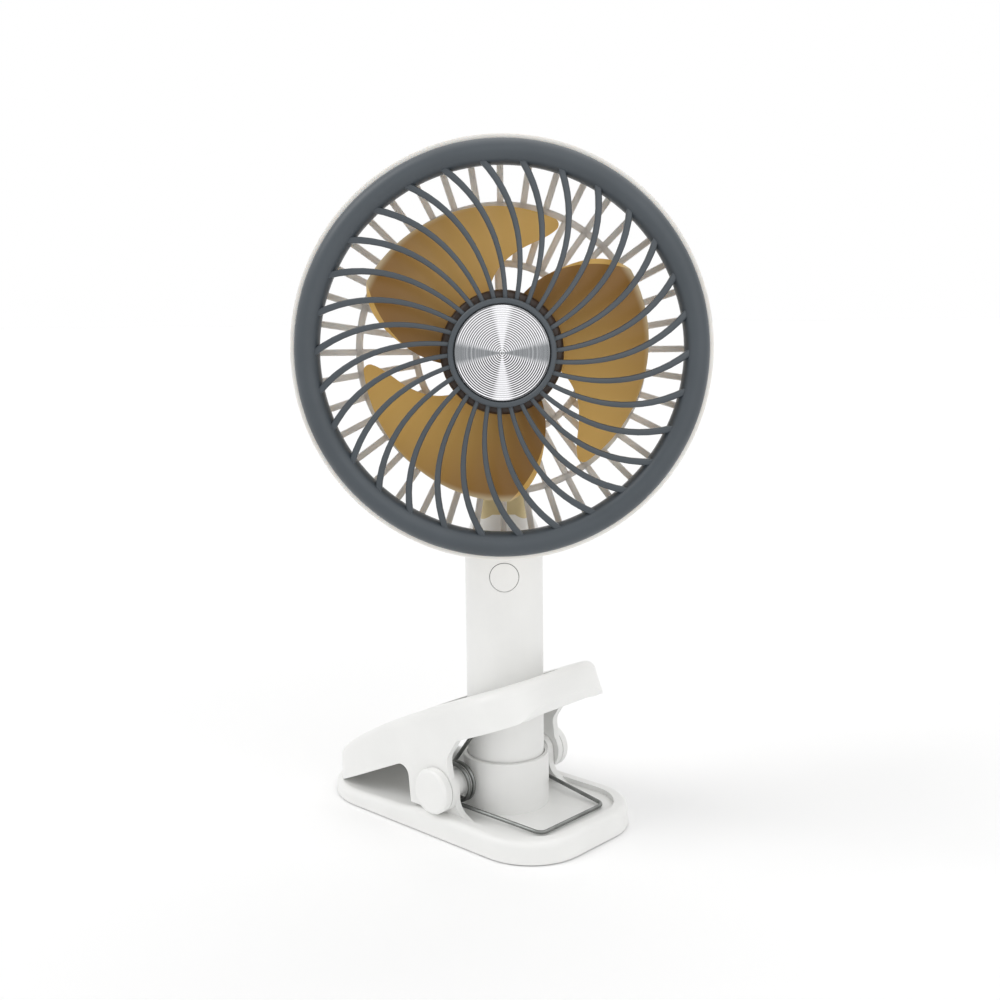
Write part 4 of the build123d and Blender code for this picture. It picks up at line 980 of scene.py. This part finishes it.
@dataclass
class FrontGrille(SubAssembly):
    """The dark ring, its swept ribs and the seat of the badge."""

    ring_outer: float = 66.3
    ring_inner: float = 58.2
    ring_front: float = -37.0
    ring_rear: float = -31.2
    ring_edge: float = 0.25
    ring_sides: int = 180
    ring_arc: int = 20
    skirt_outer: float = 66.05
    skirt_wall: float = 1.4
    skirt_end: float = -26.5
    hub_outer: float = 17.1
    hub_front: float = -42.0
    hub_rear: float = -38.0
    hub_lip: float = 0.8
    hub_sides: int = 96
    hub_arc: int = 6
    seat_radius: float = 15.4
    seat_depth: float = -40.0
    seat_edge: float = 0.25
    rib_count: int = 30
    rib_start: float = 2.0
    rib_depth: float = 2.6
    rib_widths: Span = (1.4, 2.1)
    rib_fronts: Triple = (-40.6, -39.1, -35.6)
    rib_sweeps: Span = (8.1, 21.5)
    rib_middle: float = 37.6
    rib_into_hub: float = 0.6
    rib_into_ring: float = 1.5
    rib_edge: float = 0.45
    rib_steps: int = 14

    def build(self) -> None:
        """Models the grille as one piece."""
        grille = Bench.join([self.ring(), self.hub(), self.ribs()])
        grille.name = "slate_front_grille"
        Bench.settle(grille)
        self.dress(grille)

    def dress(self, grille: Piece) -> None:
        """Gives the grille its finish."""
        self.finish(grille, Palette.GREY, Body.HEAD, "dark_grey_plastic", ("front_grille",))

    def ring(self) -> Piece:
        """Turns the ring with its half-round front and its skirt."""
        half = (self.ring_outer - self.ring_inner) / 2
        centre = (self.ring_inner + half, self.ring_front + half)
        crown = arc_points(centre, half, 0, -180, self.ring_arc)
        inner = self.skirt_outer - self.skirt_wall
        skirt = [
            (self.ring_inner, self.ring_rear),
            (inner, self.ring_rear),
            (inner, self.skirt_end),
            (self.skirt_outer, self.skirt_end),
            (self.skirt_outer, self.ring_rear),
            (self.ring_outer, self.ring_rear),
        ]
        return Bench.lathe("ring", crown + skirt, self.ring_sides, self.ring_edge)

    def hub(self) -> Piece:
        """Turns the hub with its raised lip and the badge's seat."""
        centre = (self.hub_outer - self.hub_lip, self.hub_front + self.hub_lip)
        profile = [(0.0, self.hub_rear), (self.hub_outer, self.hub_rear)]
        profile += arc_points(centre, self.hub_lip, 0, -90, self.hub_arc)
        profile += [
            (self.seat_radius + self.seat_edge, self.hub_front),
            (self.seat_radius, self.hub_front + self.seat_edge),
            (self.seat_radius, self.seat_depth),
            (0.0, self.seat_depth),
        ]
        return Bench.lathe("hub", profile, self.hub_sides, closed=False)

    def rib_line(self, share: float) -> tuple[Vector, float]:
        """Returns a place on a rib's middle line and the rib's width there.

        Args:
            share: How far along the rib the place is, from 0 to 1.

        Returns:
            The place in metres and the width in millimetres.
        """
        inner = self.hub_outer - self.rib_into_hub
        outer = self.ring_inner + self.rib_into_ring
        radius = inner + (outer - inner) * share
        knee = (self.rib_middle - inner) / (outer - inner)
        middle, far = self.rib_sweeps
        bow = (middle / knee - far) / (knee - 1)
        sweep = share * (far + bow * (share - 1))
        front, centre, back = self.rib_fronts
        depth = front + (back - front) * share + 4 * (centre - (front + back) / 2) * share * (1 - share)
        width = self.rib_widths[0] + (self.rib_widths[1] - self.rib_widths[0]) * share
        return ring_point(radius, sweep, depth), width

    def ribs(self) -> Piece:
        """Draws one rib by extruding an edge outward, then repeats it about the axis."""
        steps = self.rib_steps
        stops = [self.rib_line(k / steps) for k in range(steps + 1)]
        along = (stops[-1][0] - stops[0][0]).normalized()
        across = Vector((-along.z, 0.0, along.x)).normalized()
        slants = []
        for k in range(steps + 1):
            way = (stops[min(k + 1, steps)][0] - stops[max(k - 1, 0)][0]).normalized()
            slants.append(abs(Vector((-way.z, 0.0, way.x)).normalized().dot(across)))
        lengths = [width / slant for (_, width), slant in zip(stops, slants)]
        first = stops[0][0]
        half = across * lengths[0] / 2 * MM
        rib = Bench.draw("rib", [first - half, first + half])
        bpy.ops.mesh.select_all(action="SELECT")
        for k in range(1, steps + 1):
            step = stops[k][0] - stops[k - 1][0]
            bpy.ops.mesh.extrude_region_move(TRANSFORM_OT_translate={"value": step})
            wider = lengths[k] / lengths[k - 1]
            bpy.ops.transform.resize(value=(wider,) * 3, center_override=stops[k][0])
        bpy.ops.mesh.select_all(action="SELECT")
        back = Vector((0.0, self.rib_depth * MM, 0.0))
        bpy.ops.mesh.extrude_region_move(TRANSFORM_OT_translate={"value": back})
        Bench.weld()
        bpy.ops.object.mode_set(mode="OBJECT")
        Bench.soften(rib, self.rib_edge, segments=3)
        Bench.around(rib, self.rib_count, self.rib_start)
        return rib


@dataclass
class HubBadge(SubAssembly):
    """The spun metal disc, with fine rings turned into its face."""

    radius: float = 15.0
    face: float = -41.5
    thickness: float = 1.5
    rings: int = 24
    groove: float = 0.07
    edge: float = 0.3
    edge_arc: int = 3
    sides: int = 128
    smooth: float = 60.0

    def build(self) -> None:
        """Models the disc."""
        pitch = (self.radius - 2 * self.edge) / self.rings
        profile = [(0.0, self.face)]
        for k in range(self.rings):
            start = pitch * k
            profile.append((start + pitch / 2, self.face + self.groove))
            profile.append((start + pitch, self.face))
        centre = (self.radius - self.edge, self.face + self.edge)
        profile += arc_points(centre, self.edge, -90, 0, self.edge_arc)
        profile += [(self.radius, self.face + self.thickness), (0.0, self.face + self.thickness)]
        disc = Bench.lathe("spun_hub_badge", profile, self.sides, closed=False)
        Bench.settle(disc, self.smooth)
        self.dress(disc)

    def dress(self, disc: Piece) -> None:
        """Gives the disc its finish."""
        self.finish(disc, Palette.SPUN, Body.HEAD, "spun_aluminium", ("hub_badge",))


@dataclass
class RearHousing(SubAssembly):
    """The pale rim, the rear grille, the motor's seat and the lug of the tilt joint."""

    rim_outer: float = 68.0
    rim_wall: float = 1.8
    rim_front: float = -31.0
    rear_face: float = -14.3
    grille_depth: float = 2.2
    frame_width: float = 2.6
    rim_round: float = 3.5
    rim_arc: int = 8
    rim_edge: float = 0.4
    rim_sides: int = 180
    spokes: int = 40
    spoke_width: float = 2.2
    hoops: Span = (47.4, 28.6)
    hoop_width: float = 2.3
    hoop_edge: float = 0.6
    hoop_sides: int = 120
    struts: int = 5
    strut_turn: float = 19.5
    strut_width: float = 3.0
    bar_edge: float = 0.7
    bar_sink: float = 0.05
    overlap: float = 0.5
    boss: Span = (13.9, 12.3)
    boss_span: Span = (-20.5, -5.0)
    boss_edge: float = 0.4
    boss_sides: int = 96
    lug_width: float = 7.8
    lug_radius: float = 6.0
    lug_place: Span = (-2.0, -44.1)
    lug_sides: int = 48
    spine_rear: float = -6.5
    spine_edge: float = 0.5
    web_overlap: float = 1.0

    @property
    def grille_front(self) -> float:
        """The depth of the rear grille's front face."""
        return self.rear_face - self.grille_depth

    def build(self) -> None:
        """Models the housing as one piece."""
        hoops = [self.hoop(radius) for radius in self.hoops]
        parts = [self.rim(), *hoops, self.spoke_ring(), self.strut_ring(), self.motor_seat(), *self.spine()]
        housing = Bench.join(parts)
        housing.name = "cream_rear_housing"
        Bench.settle(housing)
        self.dress(housing)

    def dress(self, housing: Piece) -> None:
        """Gives the housing its finish."""
        self.finish(housing, Palette.CREAM, Body.HEAD, "cream_plastic", ("rear_housing",))

    def rim(self) -> Piece:
        """Turns the rim with its rounded rear shoulder."""
        inner = self.rim_outer - self.rim_wall
        frame = inner - self.frame_width
        centre = (self.rim_outer - self.rim_round, self.rear_face - self.rim_round)
        profile = [(inner, self.rim_front), (self.rim_outer, self.rim_front)]
        profile += arc_points(centre, self.rim_round, 0, 90, self.rim_arc)
        profile += [(frame, self.rear_face), (frame, self.grille_front), (inner, self.grille_front)]
        return Bench.lathe("rim", profile, self.rim_sides, self.rim_edge)

    def hoop(self, radius: float) -> Piece:
        """Turns one hoop of the rear grille."""
        inner, outer = radius - self.hoop_width / 2, radius + self.hoop_width / 2
        profile = [(inner, self.grille_front), (outer, self.grille_front)]
        profile += [(outer, self.rear_face), (inner, self.rear_face)]
        hoop = Bench.lathe("hoop", profile, self.hoop_sides)
        Bench.soften(hoop, self.hoop_edge, segments=3)
        return hoop

    def bar_ring(self, name: str, span: Span, width: float, count: int, start: float = 0.0) -> Piece:
        """Makes one flat bar that runs outward and repeats it about the axis.

        Args:
            name: The bar's name.
            span: How far from the axis it starts and ends.
            width: How wide it is.
            count: How many there are.
            start: The first one's angle in degrees.

        Returns:
            The ring of bars.
        """
        depth = (self.grille_front + self.bar_sink, self.rear_face - self.bar_sink)
        bar = Bench.block(name, span, depth, (-width / 2, width / 2))
        Bench.soften(bar, self.bar_edge, segments=3)
        Bench.around(bar, count, start)
        return bar

    def spoke_ring(self) -> Piece:
        """Makes the long spokes between the inner hoop and the rim."""
        outer = self.rim_outer - self.rim_wall - self.frame_width + self.overlap
        return self.bar_ring("spoke", (self.hoops[1], outer), self.spoke_width, self.spokes)

    def strut_ring(self) -> Piece:
        """Makes the struts between the motor's seat and the inner hoop."""
        span = (self.boss[1] + self.overlap, self.hoops[1])
        return self.bar_ring("strut", span, self.strut_width, self.struts, self.strut_turn)

    def motor_seat(self) -> Piece:
        """Turns the sleeve that holds the motor."""
        outer, inner = self.boss
        low, high = self.boss_span
        profile = [(outer, low), (outer, high), (inner, high), (inner, low)]
        return Bench.lathe("sleeve", profile, self.boss_sides, self.boss_edge)

    def spine(self) -> list[Piece]:
        """Makes the spine down the back and the round lug at its foot."""
        half = self.lug_width / 2
        across = (-half, half)
        y, z = self.lug_place
        depth = (self.grille_front, self.spine_rear)
        upright = Bench.block("upright", across, depth, (z, -self.boss[1] - self.overlap))
        depth = (self.spine_rear - self.web_overlap, y)
        web = Bench.block("web", across, depth, (z, z + self.lug_radius))
        ends = (Vector((-half, y, z)) * MM, Vector((half, y, z)) * MM)
        lug = Bench.bar("lug", self.lug_radius, ends, self.lug_sides)
        for part in (upright, web, lug):
            Bench.soften(part, self.spine_edge)
        return [upright, web, lug]


# ---------------------------------------------------------------- studio


@dataclass(frozen=True)
class Sun:
    """A soft light that is even all over the floor.

    Attributes:
        name: The light's name.
        place: The direction it shines from.
        power: Its strength in watts per square metre.
        spread: How wide it looks from the floor, in degrees.
    """

    name: str
    place: Triple
    power: float
    spread: float

    def hang(self) -> None:
        """Puts the light in the scene."""
        data = bpy.data.lights.new(self.name, "SUN")
        data.energy = self.power
        data.angle = math.radians(self.spread)
        lamp = bpy.data.objects.new(self.name, data)
        bpy.context.scene.collection.objects.link(lamp)
        lamp.matrix_world = (-Vector(self.place)).to_track_quat("-Z", "Y").to_matrix().to_4x4()


@dataclass
class Studio:
    """The pale floor, the soft lights and the camera at the photograph's place."""

    SUNS = (
        Sun("key_sun", (-0.5, -0.75, 0.95), power=0.86, spread=35.0),
        Sun("top_sun", (0.1, 0.2, 1.0), power=0.85, spread=70.0),
        Sun("fill_sun", (1.0, -0.35, 0.45), power=0.65, spread=60.0),
    )
    FLOOR = Finish("studio_floor", srgb(254, 254, 254), roughness=0.9)

    camera_place: Triple = (0.2882, -0.3114, 0.18004)
    camera_turn: float = 42.94
    camera_pitch: float = 8.51
    camera_roll: float = -0.64
    lens: float = 43.88
    sensor: float = 36.0
    floor_size: float = 60.0
    sky: float = 0.48
    sky_colour: Colour = (1.0, 1.0, 1.0, 1.0)

    def build(self) -> None:
        """Sets up everything around the fan."""
        bpy.context.scene.view_settings.view_transform = "Standard"
        self.place_camera()
        self.lay_floor()
        self.light_world()
        for sun in self.SUNS:
            sun.hang()

    def place_camera(self) -> None:
        """Sets the camera where the photograph was taken from."""
        data = bpy.data.cameras.new("camera")
        data.lens = self.lens
        data.sensor_width = self.sensor
        camera = bpy.data.objects.new("camera", data)
        bpy.context.scene.collection.objects.link(camera)
        turn = Matrix.Rotation(math.radians(self.camera_turn), 4, "Z")
        tip = Matrix.Rotation(math.radians(90 - self.camera_pitch), 4, "X")
        roll = Matrix.Rotation(math.radians(self.camera_roll), 4, "Z")
        camera.matrix_world = Matrix.Translation(self.camera_place) @ turn @ tip @ roll
        bpy.context.scene.camera = camera

    def lay_floor(self) -> None:
        """Lays a wide pale floor that the camera sees as white."""
        bpy.ops.mesh.primitive_plane_add(size=self.floor_size, location=(0.0, 0.0, 0.0))
        floor = bpy.context.object
        floor.name = self.FLOOR.name
        floor.data.materials.append(self.FLOOR.build(ShaderGroups()))

    def light_world(self) -> None:
        """Fills the room with even light that looks white to the camera and in reflections."""
        world = bpy.data.worlds.new("studio")
        bpy.context.scene.world = world
        world.use_nodes = True
        sheet = NodeSheet(world.node_tree)
        path = sheet.add("LightPath")
        seen = sheet.math("MAXIMUM", path.outputs["Is Camera Ray"], path.outputs["Is Glossy Ray"])
        seen = sheet.math("MAXIMUM", seen, path.outputs["Is Transmission Ray"])
        background = world.node_tree.nodes["Background"]
        strength = sheet.math("ADD", self.sky, sheet.math("MULTIPLY", seen, 1.0 - self.sky))
        sheet.feed(background, Color=self.sky_colour, Strength=strength)


def main() -> None:
    """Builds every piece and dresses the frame."""
    logging.basicConfig(level=logging.INFO, format="%(name)s: %(message)s")
    palette = Palette()
    palette.paint_frame()
    for assembly in (ClampSpring, FrontGrille, HubBadge, RearHousing):
        assembly(palette).build()
    Studio().build()


if __name__ == "__main__":
    main()
